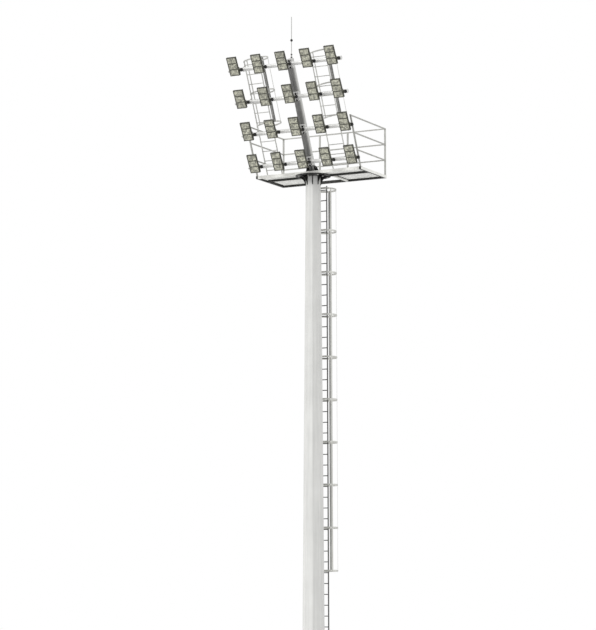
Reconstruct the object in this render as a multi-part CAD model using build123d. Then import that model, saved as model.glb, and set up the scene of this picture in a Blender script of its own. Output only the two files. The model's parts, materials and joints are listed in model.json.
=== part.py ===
from build123d import *
import math
import os

# A high mast floodlight tower. An octagonal tapered pole stands on a ribbed base flange and carries a
# caged ladder on its back. On its head lie a railed platform and a round spine that leans forward,
# with four arms of five floodlights, two caged rack ladders behind them and a lightning rod on top.
# Lengths are millimetres. z 0 is the underside of the base flange, +Z is up, the floodlights face -Y
# and the ladders are on the +Y side.

# Pole
platform_level = 14060.0
pole_sides = 8
pole_flats_ground = 585.0
pole_flats_top = 392.0
pole_wall = 6.0

# Base flange
base_radius = 460.0
base_thickness = 30.0
anchor_circle_radius = 385.0
anchor_hole_radius = 21.0
base_rib_height = 260.0
base_rib_reach = 435.0
base_rib_toe = 30.0
base_rib_thickness = 16.0

# Cable opening near the foot, closed by a bolted cover
cable_opening_width = 130.0
cable_opening_height = 480.0
cable_opening_level = 760.0
cable_opening_corner = 40.0
cable_opening_cut = 24.0
cable_cover_lap = 25.0
cable_cover_thickness = 6.0

# Head flange of the pole
head_flange_radius = 500.0
head_flange_thickness = 25.0
head_rib_height = 250.0
head_rib_inset = 30.0
head_rib_toe = 14.0
head_rib_thickness = 14.0

# Platform frame and its grating floor
platform_half_width = 1670.0
platform_front = 320.0
platform_back = 1310.0
beam_height = 80.0
beam_width = 60.0
cross_beam_gap = 260.0
hub_beam_gap = 270.0
hatch_half_width = 420.0
ledger_width = 30.0
ledger_thickness = 10.0
grating_height = 30.0
grating_clearance = 5.0
grating_bar = 5.0
grating_band = 12.0
grating_pitch = 102.0

# Guard rails
rail_height = 1360.0
rail_count = 3
post_width = 40.0
rail_width = 32.0

# Spine and its foot
lean = 24.7
spine_axis_drop = 60.0
spine_radius = 110.0
spine_wall = 8.0
spine_over_arm = 63.0
spine_cap_radius = 108.0
spine_cap_thickness = 12.0
drum_radius = 190.0
drum_wall = 12.0
foot_plate_radius = 215.0
foot_plate_thickness = 20.0
foot_fin_count = 8
foot_fin_height = 180.0
foot_fin_thickness = 12.0
foot_fin_toe = 10.0

# Arms and their saddles on the spine
row_count = 4
row_pitch = 943.0
first_row = 448.0
arm_radius = 55.0
arm_wall = 5.0
arm_overhang = 166.0
arm_gap = 55.0
arm_post_gap = 15.0
saddle_width = 290.0
saddle_height = 240.0
saddle_wrap = 45.0
saddle_seat = 25.0

# Floodlights and their yokes. A lamp turns about the pins of its knobs, in front of its arm.
lamps_per_row = 5
lamp_pitch = 767.0
pivot_reach = 209.0
pivot_rise = 35.0
lamp_lean = 30.0
lamp_width = 300.0
lamp_height = 540.0
lamp_below_pivot = 134.0
lamp_front = 90.0
lamp_body_depth = 52.0
window_count = 3
window_border = 22.0
window_depth = 6.0
cooling_fin_count = 6
cooling_fin_thickness = 5.0
cooling_fin_depth = 22.0
driver_width = 270.0
driver_height = 110.0
driver_depth = 42.0
ear_radius = 42.0
ear_sides = 8
ear_thickness = 10.0
pin_radius = 11.0
pin_clearance = 1.0
knob_radius = 43.0
knob_sides = 8
knob_length = 34.0
knob_crown_radius = 34.0
knob_crown_length = 12.0
yoke_gap = 16.0
yoke_thickness = 8.0
yoke_width = 54.0
yoke_clearance = 5.0
arm_clamp_width = 90.0
arm_clamp_height = 84.0
arm_clamp_depth = 40.0

# Ladders and their cages
stringer_depth = 60.0
stringer_thickness = 10.0
rung_pitch = 300.0
rung_width = 24.0
pole_ladder_half_width = 200.0
pole_ladder_gap = 205.0
pole_ladder_bottom = 250.0
pole_ladder_drop = 320.0
first_rung = 423.0
hoop_radius = 330.0
hoop_thickness = 6.0
hoop_sides = 24
hoop_height = 50.0
strap_thickness = 5.0
strap_width = 40.0
cage_bottom = 2880.0
cage_pitch = 1200.0
cage_hoop_count = 10
cage_strap_count = 5
cage_strap_step = 60.0
standoff_thickness = 8.0
standoff_height = 50.0
standoff_leg_offset = 62.0
rack_ladder_offset = 1050.0
rack_ladder_shift = -80.0
rack_ladder_half_width = 230.0
rack_stringer_depth = 50.0
rack_rung_pitch = 280.0
rack_rung_width = 20.0
rack_ladder_bottom = 151.0
rack_hoop_radius = 352.0
rack_hoop_rise = 170.0
rack_hoop_height = 40.0
rack_ladder_over_hoop = 30.0
rack_strap_count = 3
rack_strap_step = 75.0
cleat_width = 30.0
cleat_height = 90.0
cleat_seat = 24.0
cleat_thickness = 8.0

# Lightning rod
rod_radius = 11.0
rod_length = 1295.0
rod_sleeve_radius = 19.0
rod_sleeve_length = 230.0
rod_ball_radius = 36.0
rod_ball_height = 624.0
rod_back = 60.0
rod_side = 20.0

# How far a cutting shape stands out of what it cuts, and how far one that takes all beyond a plane goes
cut_margin = 1.0
cut_reach = 500.0

# Levels and lengths that follow from the sizes. Heights along the spine count from where its axis
# crosses the pole's axis.
frame_underside = platform_level - beam_height
side_beam_gap = platform_half_width - beam_width
front_beam_back = beam_width - platform_front
cross_beam_back = cross_beam_gap + beam_width
back_beam_front = platform_back - beam_width
head_flange_level = frame_underside - head_flange_thickness
pole_slope = (pole_flats_ground - pole_flats_top) / 2 / head_flange_level
pole_slope_angle = math.degrees(math.atan(pole_slope))
side_angle = 360.0 / pole_sides
foot_top = platform_level + foot_plate_thickness
pole_ladder_top = platform_level - pole_ladder_drop
spine_axis_level = platform_level - spine_axis_drop
rail_post_top = (platform_level + rail_height - spine_axis_level) / math.cos(math.radians(lean))
top_arm_height = first_row + (row_count - 1) * row_pitch
spine_length = top_arm_height + spine_over_arm
arm_half_length = (lamps_per_row - 1) / 2 * lamp_pitch + arm_overhang
short_arm_half_length = platform_half_width - beam_width / 2 - post_width / 2 - arm_post_gap


def half_flats(level):
    """Distance from the pole's axis to the middle of a flat side."""
    return pole_flats_ground / 2 - pole_slope * level


def octagon(level, inset=0.0):
    """Outline of the pole at a level, its flat sides facing the axes."""
    radius = half_flats(level) - inset
    return Pos(0, 0, level) * RegularPolygon(radius, pole_sides, major_radius=False, rotation=side_angle / 2)


def block(x_from, x_to, y_from, y_to, z_from, z_to):
    """A box given by its sides."""
    size = (x_to - x_from, y_to - y_from, z_to - z_from)
    return Pos((x_from + x_to) / 2, (y_from + y_to) / 2, (z_from + z_to) / 2) * Box(*size)


def upright_plate(points, thickness):
    """A plate standing in the XZ plane, given by the corners of its outline."""
    outline = Plane.XZ * make_face(Polyline(*points, close=True))
    return extrude(outline, amount=thickness / 2, both=True)


def around_pole(piece, count, start=0.0):
    """Copies of a piece set evenly round the Z axis."""
    return [Rot(0, 0, start + 360.0 / count * k) * piece for k in range(count)]


def fused(pieces):
    """One shape from pieces that touch."""
    pieces = list(pieces)
    return pieces[0].fuse(*pieces[1:]) if len(pieces) > 1 else pieces[0]


def cross_tube(radius, half_length):
    """A cylinder along X, centred on the origin."""
    return Rot(0, 90, 0) * Cylinder(radius, 2 * half_length)


def cross_disc(radius, length, sides):
    """A many-sided disc along X, centred on the origin, its flats facing the axes."""
    outline = RegularPolygon(radius, sides, major_radius=False, rotation=180.0 / sides)
    return Rot(0, 90, 0) * extrude(outline, amount=length / 2, both=True)


# Frames: the pole's back and front flat sides, and the rack that leans forward with the spine.
back_side = Location((0, pole_flats_ground / 2, 0), (pole_slope_angle, 0, 0))
front_side = Location((0, -pole_flats_ground / 2, 0), (-pole_slope_angle, 0, 0))
rack = Location((0, 0, spine_axis_level), (lean, 0, 0))


def pole_solid(from_level, to_level, inset=0.0):
    """The tapered octagonal prism of the pole, or of its hollow."""
    return loft([octagon(from_level, inset).face(), octagon(to_level, inset).face()])


def make_pole_shaft():
    """Folded steel shaft, hollow, with the cable opening, its corners cut off, in its front side."""
    shaft = pole_solid(base_thickness, head_flange_level) - pole_solid(
        base_thickness, head_flange_level, pole_wall / math.cos(math.radians(pole_slope_angle))
    )
    outline = Rectangle(cable_opening_width, cable_opening_height)
    opening = chamfer(outline.vertices(), cable_opening_corner)
    cutter = Rot(90, 0, 0) * extrude(opening, amount=cable_opening_cut + cut_margin)
    return shaft - front_side * Pos(0, cable_opening_cut, cable_opening_level) * cutter


def make_cable_cover():
    """Cover plate on the front side, lapping over the cable opening all round."""
    width = cable_opening_width + 2 * cable_cover_lap
    height = cable_opening_height + 2 * cable_cover_lap
    outline = RectangleRounded(width, height, cable_opening_corner + cable_cover_lap)
    plate = Rot(90, 0, 0) * extrude(outline, amount=cable_cover_thickness)
    return front_side * Pos(0, 0, cable_opening_level) * plate


def make_base_flange():
    """Round base plate with anchor holes and a rib on each flat side of the pole."""
    plate = extrude(Circle(base_radius), amount=base_thickness)
    hole = Cylinder(anchor_hole_radius, base_thickness + 2 * cut_margin)
    hole = Pos(anchor_circle_radius, 0, base_thickness / 2) * hole
    plate = plate - around_pole(hole, pole_sides, side_angle / 2)
    rib_top = base_thickness + base_rib_height
    rib = upright_plate(
        [
            (half_flats(base_thickness), base_thickness),
            (base_rib_reach, base_thickness),
            (base_rib_reach, base_thickness + base_rib_toe),
            (half_flats(rib_top) + base_rib_toe, rib_top),
            (half_flats(rib_top), rib_top),
        ],
        base_rib_thickness,
    )
    return fused([plate, *around_pole(rib, pole_sides)])


def make_head_flange():
    """Flange on the pole's head, with a rib on each corner whose edge sweeps out in a hollow curve."""
    plate = Pos(0, 0, head_flange_level) * extrude(Circle(head_flange_radius), amount=head_flange_thickness)
    rib_bottom = head_flange_level - head_rib_height
    corner = half_flats(rib_bottom) / math.cos(math.radians(side_angle / 2))
    inner_bottom = (half_flats(head_flange_level), rib_bottom)
    outer_bottom = (corner + head_rib_toe, rib_bottom)
    outer_edge = (head_flange_radius - head_rib_inset, head_flange_level - head_rib_toe)
    outer_top = (head_flange_radius - head_rib_inset, head_flange_level)
    inner_top = (half_flats(head_flange_level), head_flange_level)
    edge = [
        Line(inner_top, inner_bottom),
        Line(inner_bottom, outer_bottom),
        TangentArc(outer_bottom, outer_edge, tangent=(0, 1)),
        Line(outer_edge, outer_top),
        Line(outer_top, inner_top),
    ]
    rib = extrude(Plane.XZ * make_face(Curve() + edge), amount=head_rib_thickness / 2, both=True)
    pole = pole_solid(rib_bottom - cut_margin, head_flange_level)
    ribs = [one - pole for one in around_pole(rib, pole_sides, side_angle / 2)]
    return fused([plate, *ribs])


def grating_bays():
    """The bays that carry grating, each as x from, x to, y from, y to."""
    front = (front_beam_back, cross_beam_gap)
    rear = (cross_beam_back, back_beam_front)
    hub_side = hub_beam_gap + beam_width
    hatch_side = hatch_half_width + beam_width
    return [
        (-side_beam_gap, -hub_side, *front),
        (hub_side, side_beam_gap, *front),
        (-side_beam_gap, -hatch_side, *rear),
        (hatch_side, side_beam_gap, *rear),
    ]


def beam(x_from, x_to, y_from, y_to):
    """One straight beam of the platform's welded frame."""
    return block(x_from, x_to, y_from, y_to, frame_underside, platform_level)


def make_side_beams():
    """The two beams that close the platform's ends, over its whole depth."""
    left = beam(-platform_half_width, -side_beam_gap, -platform_front, platform_back)
    right = beam(side_beam_gap, platform_half_width, -platform_front, platform_back)
    return [left, right]


def make_cross_beams():
    """The front beam, the beam behind the hub and the back beam, welded in between the side beams."""
    spans = (
        (-platform_front, front_beam_back),
        (cross_beam_gap, cross_beam_back),
        (back_beam_front, platform_back),
    )
    return [beam(-side_beam_gap, side_beam_gap, *span) for span in spans]


def make_trimmers():
    """Short beams in pairs, beside the hub in front and beside the hatch behind."""
    trimmers = []
    for gap, span in (
        (hub_beam_gap, (front_beam_back, cross_beam_gap)),
        (hatch_half_width, (cross_beam_back, back_beam_front)),
    ):
        trimmers.append(beam(-gap - beam_width, -gap, *span))
        trimmers.append(beam(gap, gap + beam_width, *span))
    return trimmers


def make_ledgers():
    """The flat ledger that runs round inside each grating bay."""
    ledger_top = platform_level - grating_height
    ledgers = []
    for x_from, x_to, y_from, y_to in grating_bays():
        ledger = block(x_from, x_to, y_from, y_to, ledger_top - ledger_thickness, ledger_top)
        x_gap = (x_from + ledger_width, x_to - ledger_width)
        y_gap = (y_from + ledger_width, y_to - ledger_width)
        ledgers.append(ledger - block(*x_gap, *y_gap, frame_underside, platform_level))
    return ledgers


def grating_panel(x_from, x_to, y_from, y_to):
    """A floor panel with a band all round and flat bars across, one for every third bar of a real one."""
    x_from = x_from + grating_clearance
    x_to = x_to - grating_clearance
    y_from = y_from + grating_clearance
    y_to = y_to - grating_clearance
    bottom = platform_level - grating_height
    panel = block(x_from, x_to, y_from, y_to, bottom, platform_level)
    inner_width = x_to - x_from - 2 * grating_band
    slot_count = round((inner_width + grating_bar) / grating_pitch)
    pitch = (inner_width + grating_bar) / slot_count
    y_slot = (y_from + grating_band, y_to - grating_band)
    slots = []
    for k in range(slot_count):
        slot_from = x_from + grating_band + k * pitch
        slot_to = slot_from + pitch - grating_bar
        slots.append(block(slot_from, slot_to, *y_slot, bottom - cut_margin, platform_level + cut_margin))
    return panel - slots


def make_floor_gratings():
    """The four panels that lie on the ledgers."""
    return [grating_panel(*bay) for bay in grating_bays()]


def rail_levels():
    """Heights of the rails' centres, evenly spaced, the top one flush with the posts."""
    step = rail_height / rail_count
    return [platform_level + step * (k + 1) - rail_width / 2 for k in range(rail_count)]


def make_back_guard_rail():
    """Four posts on the back beam, two at the corners and two beside the hatch, joined by the rails."""
    y_mid = platform_back - beam_width / 2
    corner = platform_half_width - beam_width / 2
    top = platform_level + rail_height
    pieces = []
    for x_mid in (-corner, -hatch_half_width - beam_width / 2, hatch_half_width + beam_width / 2, corner):
        half = post_width / 2
        pieces.append(block(x_mid - half, x_mid + half, y_mid - half, y_mid + half, platform_level, top))
    for level in rail_levels():
        half = rail_width / 2
        pieces.append(block(-corner, corner, y_mid - half, y_mid + half, level - half, level + half))
    return fused(pieces)


def make_side_guard_rail(side):
    """A front post that leans with the rack, and rails back to the corner post."""
    x_mid = side * (platform_half_width - beam_width / 2)
    y_foot = -platform_front + beam_width / 2
    y_end = platform_back - beam_width / 2 - post_width / 2
    forward = rail_height * math.tan(math.radians(lean))
    half = post_width / 2
    top = platform_level + rail_height
    corners = [
        (y_foot - half, platform_level),
        (y_foot + half, platform_level),
        (y_foot + half - forward, top),
        (y_foot - half - forward, top),
    ]
    post = extrude(Plane.YZ * make_face(Polyline(*corners, close=True)), amount=half, both=True)
    pieces = [Pos(x_mid, 0, 0) * post]
    for level in rail_levels():
        y_post = y_foot - (level - platform_level) * math.tan(math.radians(lean))
        half = rail_width / 2
        pieces.append(block(x_mid - half, x_mid + half, y_post, y_end, level - half, level + half))
    return fused(pieces)


def spine_bar(radius, from_height, to_height):
    """A cylinder on the spine's leaning axis."""
    return rack * Pos(0, 0, (from_height + to_height) / 2) * Cylinder(radius, to_height - from_height)


def make_spine():
    """Leaning tube, cut level where it stands on its foot plate and closed by a cap."""
    tube = spine_bar(spine_radius, 0, spine_length)
    tube = tube - spine_bar(spine_radius - spine_wall, -cut_margin, spine_length)
    tube = tube - block(-cut_reach, cut_reach, -cut_reach, cut_reach, foot_top - cut_reach, foot_top)
    return fused([tube, spine_bar(spine_cap_radius, spine_length, spine_length + spine_cap_thickness)])


def make_spine_foot():
    """Drum on the head flange, foot plate and fins that hold the leaning spine."""
    drum = extrude(Circle(drum_radius) - Circle(drum_radius - drum_wall), amount=beam_height)
    drum = Pos(0, 0, frame_underside) * drum
    plate = Pos(0, 0, platform_level) * extrude(Circle(foot_plate_radius), amount=foot_plate_thickness)
    bar = spine_bar(spine_radius, 0, spine_length)
    fins = [make_foot_fin(2 * math.pi * (k + 1 / 2) / foot_fin_count) - bar for k in range(foot_fin_count)]
    return fused([drum, plate, *fins])


def make_foot_fin(angle):
    """A flat fin from the leaning axis out to the plate's rim at its foot, close to the tube at its head."""
    slope = math.tan(math.radians(lean))
    across = Vector(math.cos(angle), math.sin(angle), 0)
    rise = foot_top - foot_plate_thickness / 2 - spine_axis_level
    inner_foot = Vector(0, -rise * slope, spine_axis_level + rise)
    inner_head = inner_foot + Vector(0, -foot_fin_height * slope, foot_fin_height)
    offset = inner_foot.Y * across.Y
    reach = -offset + math.sqrt(offset**2 - inner_foot.Y**2 + foot_plate_radius**2)
    outer_foot = inner_foot + across * (reach - foot_fin_toe)
    outer_head = inner_head + across * (spine_radius / math.cos(math.radians(lean)) + foot_fin_toe)
    face = make_face(Polyline(inner_foot, outer_foot, outer_head, inner_head, close=True))
    return extrude(face, amount=foot_fin_thickness / 2, both=True)


# Distances from the spine's axis, towards the front of the rack
arm_forward = spine_radius + arm_gap + arm_radius
pivot_forward = arm_forward + pivot_reach


def arm_height(row):
    """Height of an arm along the spine."""
    return first_row + row * row_pitch


def lamp_x(column):
    """Place of a floodlight's middle along its arm."""
    return (column - (lamps_per_row - 1) / 2) * lamp_pitch


def pivot_point(row, column):
    """The point that a floodlight turns about."""
    height = arm_height(row) + pivot_rise
    return (rack * Location((lamp_x(column), -pivot_forward, height))).position


def make_arm(row):
    """Tube across the spine, closed at both ends. A low one stops short of the leaning rail posts."""
    half_length = short_arm_half_length if arm_height(row) < rail_post_top else arm_half_length
    tube = cross_tube(arm_radius, half_length) - cross_tube(arm_radius - arm_wall, half_length - arm_wall)
    return rack * Pos(0, -arm_forward, arm_height(row)) * tube


def make_arm_saddles():
    """Cradle blocks that seat each arm on the spine."""
    half = saddle_width / 2
    rise = saddle_height / 2
    saddle = block(-half, half, -arm_forward + saddle_seat, -spine_radius + saddle_wrap, -rise, rise)
    saddle = saddle - Cylinder(spine_radius, saddle_height + 2 * cut_margin)
    saddle = saddle - Pos(0, -arm_forward, 0) * cross_tube(arm_radius, half + cut_margin)
    return [rack * Pos(0, 0, arm_height(row)) * saddle for row in range(row_count)]


def make_yoke():
    """Forked bracket about the origin of its pivot: a clamp on the arm, a cross bar and two legs."""
    inner = lamp_width / 2 + yoke_gap
    outer = inner + yoke_thickness
    half = yoke_width / 2
    bar_front = pivot_reach - arm_radius - arm_clamp_depth / 2
    bar_back = bar_front + yoke_thickness
    pieces = [block(-outer, outer, bar_front, bar_back, -half, half)]
    for side in (-1, 1):
        leg_from = min(side * inner, side * outer)
        pieces.append(block(leg_from, leg_from + yoke_thickness, 0, bar_back, -half, half))
        pieces.append(Pos(side * (inner + outer) / 2, 0, 0) * cross_disc(half, yoke_thickness, ear_sides))
    clamp_half = arm_clamp_width / 2
    clamp_low = -pivot_rise - arm_clamp_height / 2
    clamp = block(-clamp_half, clamp_half, bar_back, bar_back + arm_clamp_depth, clamp_low, half)
    clamp = clamp - Pos(0, pivot_reach, -pivot_rise) * cross_tube(arm_radius, arm_clamp_width)
    pieces.append(clamp)
    return fused(pieces) - cross_tube(pin_radius + pin_clearance, outer + cut_margin)


def make_yokes(row):
    """The yokes of one arm."""
    height = arm_height(row) + pivot_rise
    yoke = make_yoke()
    return [rack * Pos(lamp_x(column), -pivot_forward, height) * yoke for column in range(lamps_per_row)]


def make_lamp():
    """Floodlight about the origin of its pivot, facing -Y: body, windows, cooling fins, driver and knobs."""
    half = lamp_width / 2
    bottom = -lamp_below_pivot
    top = bottom + lamp_height
    back = -lamp_front + lamp_body_depth
    body = block(-half, half, -lamp_front, back, bottom, top)
    pitch = (lamp_height - window_border) / window_count
    pane = half - window_border
    sunk = (-lamp_front - cut_margin, -lamp_front + window_depth)
    for k in range(window_count):
        low = bottom + window_border + k * pitch
        body = body - block(-pane, pane, *sunk, low, low + pitch - window_border)
    driver_top = bottom + driver_height
    driver = block(-driver_width / 2, driver_width / 2, back, back + driver_depth, bottom, driver_top)
    pieces = [body, driver]
    fin_step = (driver_width - cooling_fin_thickness) / (cooling_fin_count - 1)
    for k in range(cooling_fin_count):
        fin_from = -driver_width / 2 + k * fin_step
        fin_to = fin_from + cooling_fin_thickness
        pieces.append(block(fin_from, fin_to, back, back + cooling_fin_depth, driver_top, top))
    knob_from = half + yoke_gap + yoke_thickness + yoke_clearance
    web_front = -lamp_front + lamp_body_depth / 2
    crown_from = knob_from + knob_length
    for side in (-1, 1):
        ear_from = min(side * half, side * (half - ear_thickness))
        ear = cross_disc(ear_radius, ear_thickness, ear_sides)
        pieces.append(Pos(ear_from + ear_thickness / 2, 0, 0) * ear)
        pieces.append(block(ear_from, ear_from + ear_thickness, web_front, 0, -ear_radius, ear_radius))
        pin = cross_tube(pin_radius, (knob_from - half) / 2)
        knob = cross_disc(knob_radius, knob_length, knob_sides)
        crown = cross_disc(knob_crown_radius, knob_crown_length, knob_sides)
        pieces.append(Pos(side * (half + knob_from) / 2, 0, 0) * pin)
        pieces.append(Pos(side * (knob_from + knob_length / 2), 0, 0) * knob)
        pieces.append(Pos(side * (crown_from + knob_crown_length / 2), 0, 0) * crown)
    return fused(pieces)


def place_lamp(lamp, row, column):
    """A floodlight at its pivot, at its own lean."""
    return Location(pivot_point(row, column), (lamp_lean, 0, 0)) * lamp


def ladder(half_width, depth, from_height, to_height, rung_heights, rung):
    """A ladder in the XZ plane, centred on its stringers: two flat bars and square rungs."""
    pieces = []
    for side in (-1, 1):
        x_from = min(side * half_width, side * (half_width + stringer_thickness))
        span = (x_from, x_from + stringer_thickness)
        pieces.append(block(*span, -depth / 2, depth / 2, from_height, to_height))
    for height in rung_heights:
        half = rung / 2
        pieces.append(block(-half_width, half_width, -half, half, height - half, height + half))
    return fused(pieces)


def hoop_back(radius, half_width):
    """How far a hoop's centre stands behind the ladder, so that its ends meet the stringers."""
    reach = radius + hoop_thickness / 2
    outer = half_width + stringer_thickness
    return math.sqrt(reach**2 - outer**2)


def hoop(radius, half_width, height):
    """Flat bar folded round in short flats to both stringers, level about the middle of its band."""
    outer = half_width + stringer_thickness
    rim = radius + hoop_thickness
    turn = 180.0 / hoop_sides
    band = RegularPolygon(rim, hoop_sides, major_radius=False, rotation=turn)
    band = band - RegularPolygon(radius, hoop_sides, major_radius=False, rotation=turn)
    band = band - Pos(0, -rim) * Rectangle(2 * outer, 2 * rim)
    return Pos(0, hoop_back(radius, half_width), -height / 2) * extrude(band, amount=height)


def cage_straps(radius, half_width, count, step, from_height, to_height):
    """Upright flat bars inside the hoops, spread evenly about the back of the cage."""
    half = strap_width / 2
    strap = block(-half, half, radius - strap_thickness, radius, from_height, to_height)
    middle = Pos(0, hoop_back(radius, half_width), 0)
    return [middle * Rot(0, 0, (k - (count - 1) / 2) * step) * strap for k in range(count)]


pole_ladder_back = pole_ladder_gap + stringer_depth / 2
cage_levels = [cage_bottom + cage_pitch * k for k in range(cage_hoop_count)]


def make_pole_ladder():
    """Ladder that runs up the pole's back side, parallel to it."""
    count = int((pole_ladder_top - first_rung) // rung_pitch) + 1
    rungs = [first_rung + rung_pitch * k for k in range(count)]
    span = (pole_ladder_bottom, pole_ladder_top)
    flight = ladder(pole_ladder_half_width, stringer_depth, *span, rungs, rung_width)
    return back_side * Pos(0, pole_ladder_back, 0) * flight


def make_ladder_standoffs():
    """Brackets at the hoops' levels: a cross bar before the stringers and two legs to the pole's side."""
    outer = pole_ladder_half_width + stringer_thickness
    brackets = []
    for level in cage_levels:
        low = level - standoff_height / 2
        high = level + standoff_height / 2
        pieces = [block(-outer, outer, pole_ladder_gap - standoff_thickness, pole_ladder_gap, low, high)]
        for side in (-1, 1):
            x_from = side * standoff_leg_offset - standoff_thickness / 2
            leg = (x_from, x_from + standoff_thickness, 0, pole_ladder_gap - standoff_thickness)
            pieces.append(block(*leg, low, high))
        brackets.append(back_side * fused(pieces))
    return brackets


def make_cage_hoops():
    """Hoops of the pole ladder's safety cage."""
    one = hoop(hoop_radius, pole_ladder_half_width, hoop_height)
    return [back_side * Pos(0, pole_ladder_back, level) * one for level in cage_levels]


def make_cage_straps():
    """Straps of the pole ladder's safety cage."""
    low = cage_levels[0] - hoop_height / 2
    high = cage_levels[-1] + hoop_height / 2
    straps = cage_straps(hoop_radius, pole_ladder_half_width, cage_strap_count, cage_strap_step, low, high)
    return [back_side * Pos(0, pole_ladder_back, 0) * strap for strap in straps]


rack_ladder_back = arm_radius + cleat_thickness + rack_stringer_depth / 2 - arm_forward
rack_hoop_heights = [arm_height(row) + rack_hoop_rise for row in range(1, row_count)]


def rack_ladder_place(side):
    """Where the middle of a rack ladder stands on the rack."""
    return rack * Pos(side * rack_ladder_offset + rack_ladder_shift, rack_ladder_back, 0)


def make_rack_ladder(side):
    """Ladder behind the arms, parallel to the spine, seated on each arm by a cleat on either stringer."""
    top = rack_hoop_heights[-1] + rack_hoop_height / 2 + rack_ladder_over_hoop
    first = rack_ladder_bottom + rack_rung_pitch / 2
    count = int((top - first) // rack_rung_pitch) + 1
    rungs = [first + rack_rung_pitch * k for k in range(count)]
    span = (rack_ladder_bottom, top)
    pieces = [ladder(rack_ladder_half_width, rack_stringer_depth, *span, rungs, rack_rung_width)]
    front = -rack_stringer_depth / 2
    rise = cleat_height / 2
    arm_axis = front - cleat_thickness - arm_radius
    outer = rack_ladder_half_width + stringer_thickness
    for row in range(row_count):
        height = arm_height(row)
        for way in (-1, 1):
            x_from = min(way * outer, way * (outer - cleat_width))
            x_to = x_from + cleat_width
            cleat = block(x_from, x_to, front - cleat_seat, front, height - rise, height + rise)
            pieces.append(cleat - Pos(0, arm_axis, height) * cross_tube(arm_radius, outer + cleat_width))
    return rack_ladder_place(side) * fused(pieces)


def make_rack_hoops():
    """Hoops of both rack ladders' cages."""
    one = hoop(rack_hoop_radius, rack_ladder_half_width, rack_hoop_height)
    hoops = [Pos(0, 0, height) * one for height in rack_hoop_heights]
    return [rack_ladder_place(side) * each for side in (-1, 1) for each in hoops]


def make_rack_straps():
    """Straps of both rack ladders' cages."""
    low = rack_hoop_heights[0] - rack_hoop_height / 2
    high = rack_hoop_heights[-1] + rack_hoop_height / 2
    span = (low, high)
    straps = cage_straps(rack_hoop_radius, rack_ladder_half_width, rack_strap_count, rack_strap_step, *span)
    return [rack_ladder_place(side) * strap for side in (-1, 1) for strap in straps]


def make_lightning_rod():
    """Upright rod in a sleeve that stands on the spine's sloping cap, with a ball part way up."""
    cap_top = spine_length + spine_cap_thickness
    base = (rack * Location((0, 0, cap_top))).position
    foot = base.Z - rod_back
    y_mid = base.Y + rod_back
    rod = Pos(rod_side, y_mid, foot + rod_length / 2) * Cylinder(rod_radius, rod_length)
    sleeve = Cylinder(rod_sleeve_radius, rod_sleeve_length)
    sleeve = Pos(rod_side, y_mid, foot + rod_sleeve_length / 2) * sleeve
    ball = Pos(rod_side, y_mid, foot + rod_ball_height) * Sphere(rod_ball_radius)
    below_cap = rack * block(-cut_reach, cut_reach, -cut_reach, cut_reach, cap_top - cut_reach, cap_top)
    return fused([rod, sleeve, ball]) - below_cap


def write(name, shape):
    """Writes one sub-part, or several like solids, to its own file."""
    solids = shape if isinstance(shape, list) else [shape]
    solids = [solid for piece in solids for solid in piece.solids()]
    export_step(solids[0] if len(solids) == 1 else Compound(children=solids), f"parts/{name}.step")


os.makedirs("parts", exist_ok=True)
write("base_flange", make_base_flange())
write("pole_shaft", make_pole_shaft())
write("cable_cover", make_cable_cover())
write("head_flange", make_head_flange())
write("platform_side_beams", make_side_beams())
write("platform_cross_beams", make_cross_beams())
write("platform_trimmers", make_trimmers())
write("grating_ledgers", make_ledgers())
write("floor_gratings", make_floor_gratings())
write("guard_rail_back", make_back_guard_rail())
write("guard_rail_left", make_side_guard_rail(-1))
write("guard_rail_right", make_side_guard_rail(1))
write("spine_foot", make_spine_foot())
write("spine", make_spine())
write("arm_saddles", make_arm_saddles())
write("pole_ladder", make_pole_ladder())
write("ladder_standoffs", make_ladder_standoffs())
write("cage_hoops", make_cage_hoops())
write("cage_straps", make_cage_straps())
write("rack_ladder_left", make_rack_ladder(-1))
write("rack_ladder_right", make_rack_ladder(1))
write("rack_hoops", make_rack_hoops())
write("rack_straps", make_rack_straps())
write("lightning_rod", make_lightning_rod())
one_lamp = make_lamp()
for row_number in range(row_count):
    write(f"arm_{row_number + 1}", make_arm(row_number))
    write(f"yokes_{row_number + 1}", make_yokes(row_number))
    for lamp_number in range(lamps_per_row):
        lamp = place_lamp(one_lamp, row_number, lamp_number)
        write(f"floodlight_{row_number + 1}_{lamp_number + 1}", lamp)
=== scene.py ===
"""Finishes, fittings and studio of a high mast floodlight tower.

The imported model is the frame: its nodes keep their shape and get their finishes here. The small fittings of a
real tower, such as lenses, knobs, bolts, welds and the fine bars of the floor, are added to it as surfaces.
Lengths are metres, +Z is up and the floodlights face -Y.
"""

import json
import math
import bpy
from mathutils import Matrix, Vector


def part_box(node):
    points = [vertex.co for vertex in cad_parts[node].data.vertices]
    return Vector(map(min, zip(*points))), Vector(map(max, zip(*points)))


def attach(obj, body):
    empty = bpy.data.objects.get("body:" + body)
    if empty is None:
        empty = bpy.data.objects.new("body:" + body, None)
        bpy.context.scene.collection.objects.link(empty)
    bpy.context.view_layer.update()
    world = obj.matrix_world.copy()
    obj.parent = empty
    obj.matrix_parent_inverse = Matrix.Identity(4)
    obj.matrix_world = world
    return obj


bl_info = {
    "name": "High mast floodlight tower",
    "version": (1, 0, 0),
    "blender": (4, 5, 0),
    "location": "3D View > Sidebar > Tower",
    "description": "Finishes, small fittings and studio for the floodlight tower",
    "category": "Object",
}

from collections import namedtuple

import bpy
import numpy as np
from bpy.props import FloatProperty, FloatVectorProperty, IntProperty, PointerProperty
from bpy.types import Operator, Panel, PropertyGroup
from mathutils import Matrix, Vector

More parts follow.
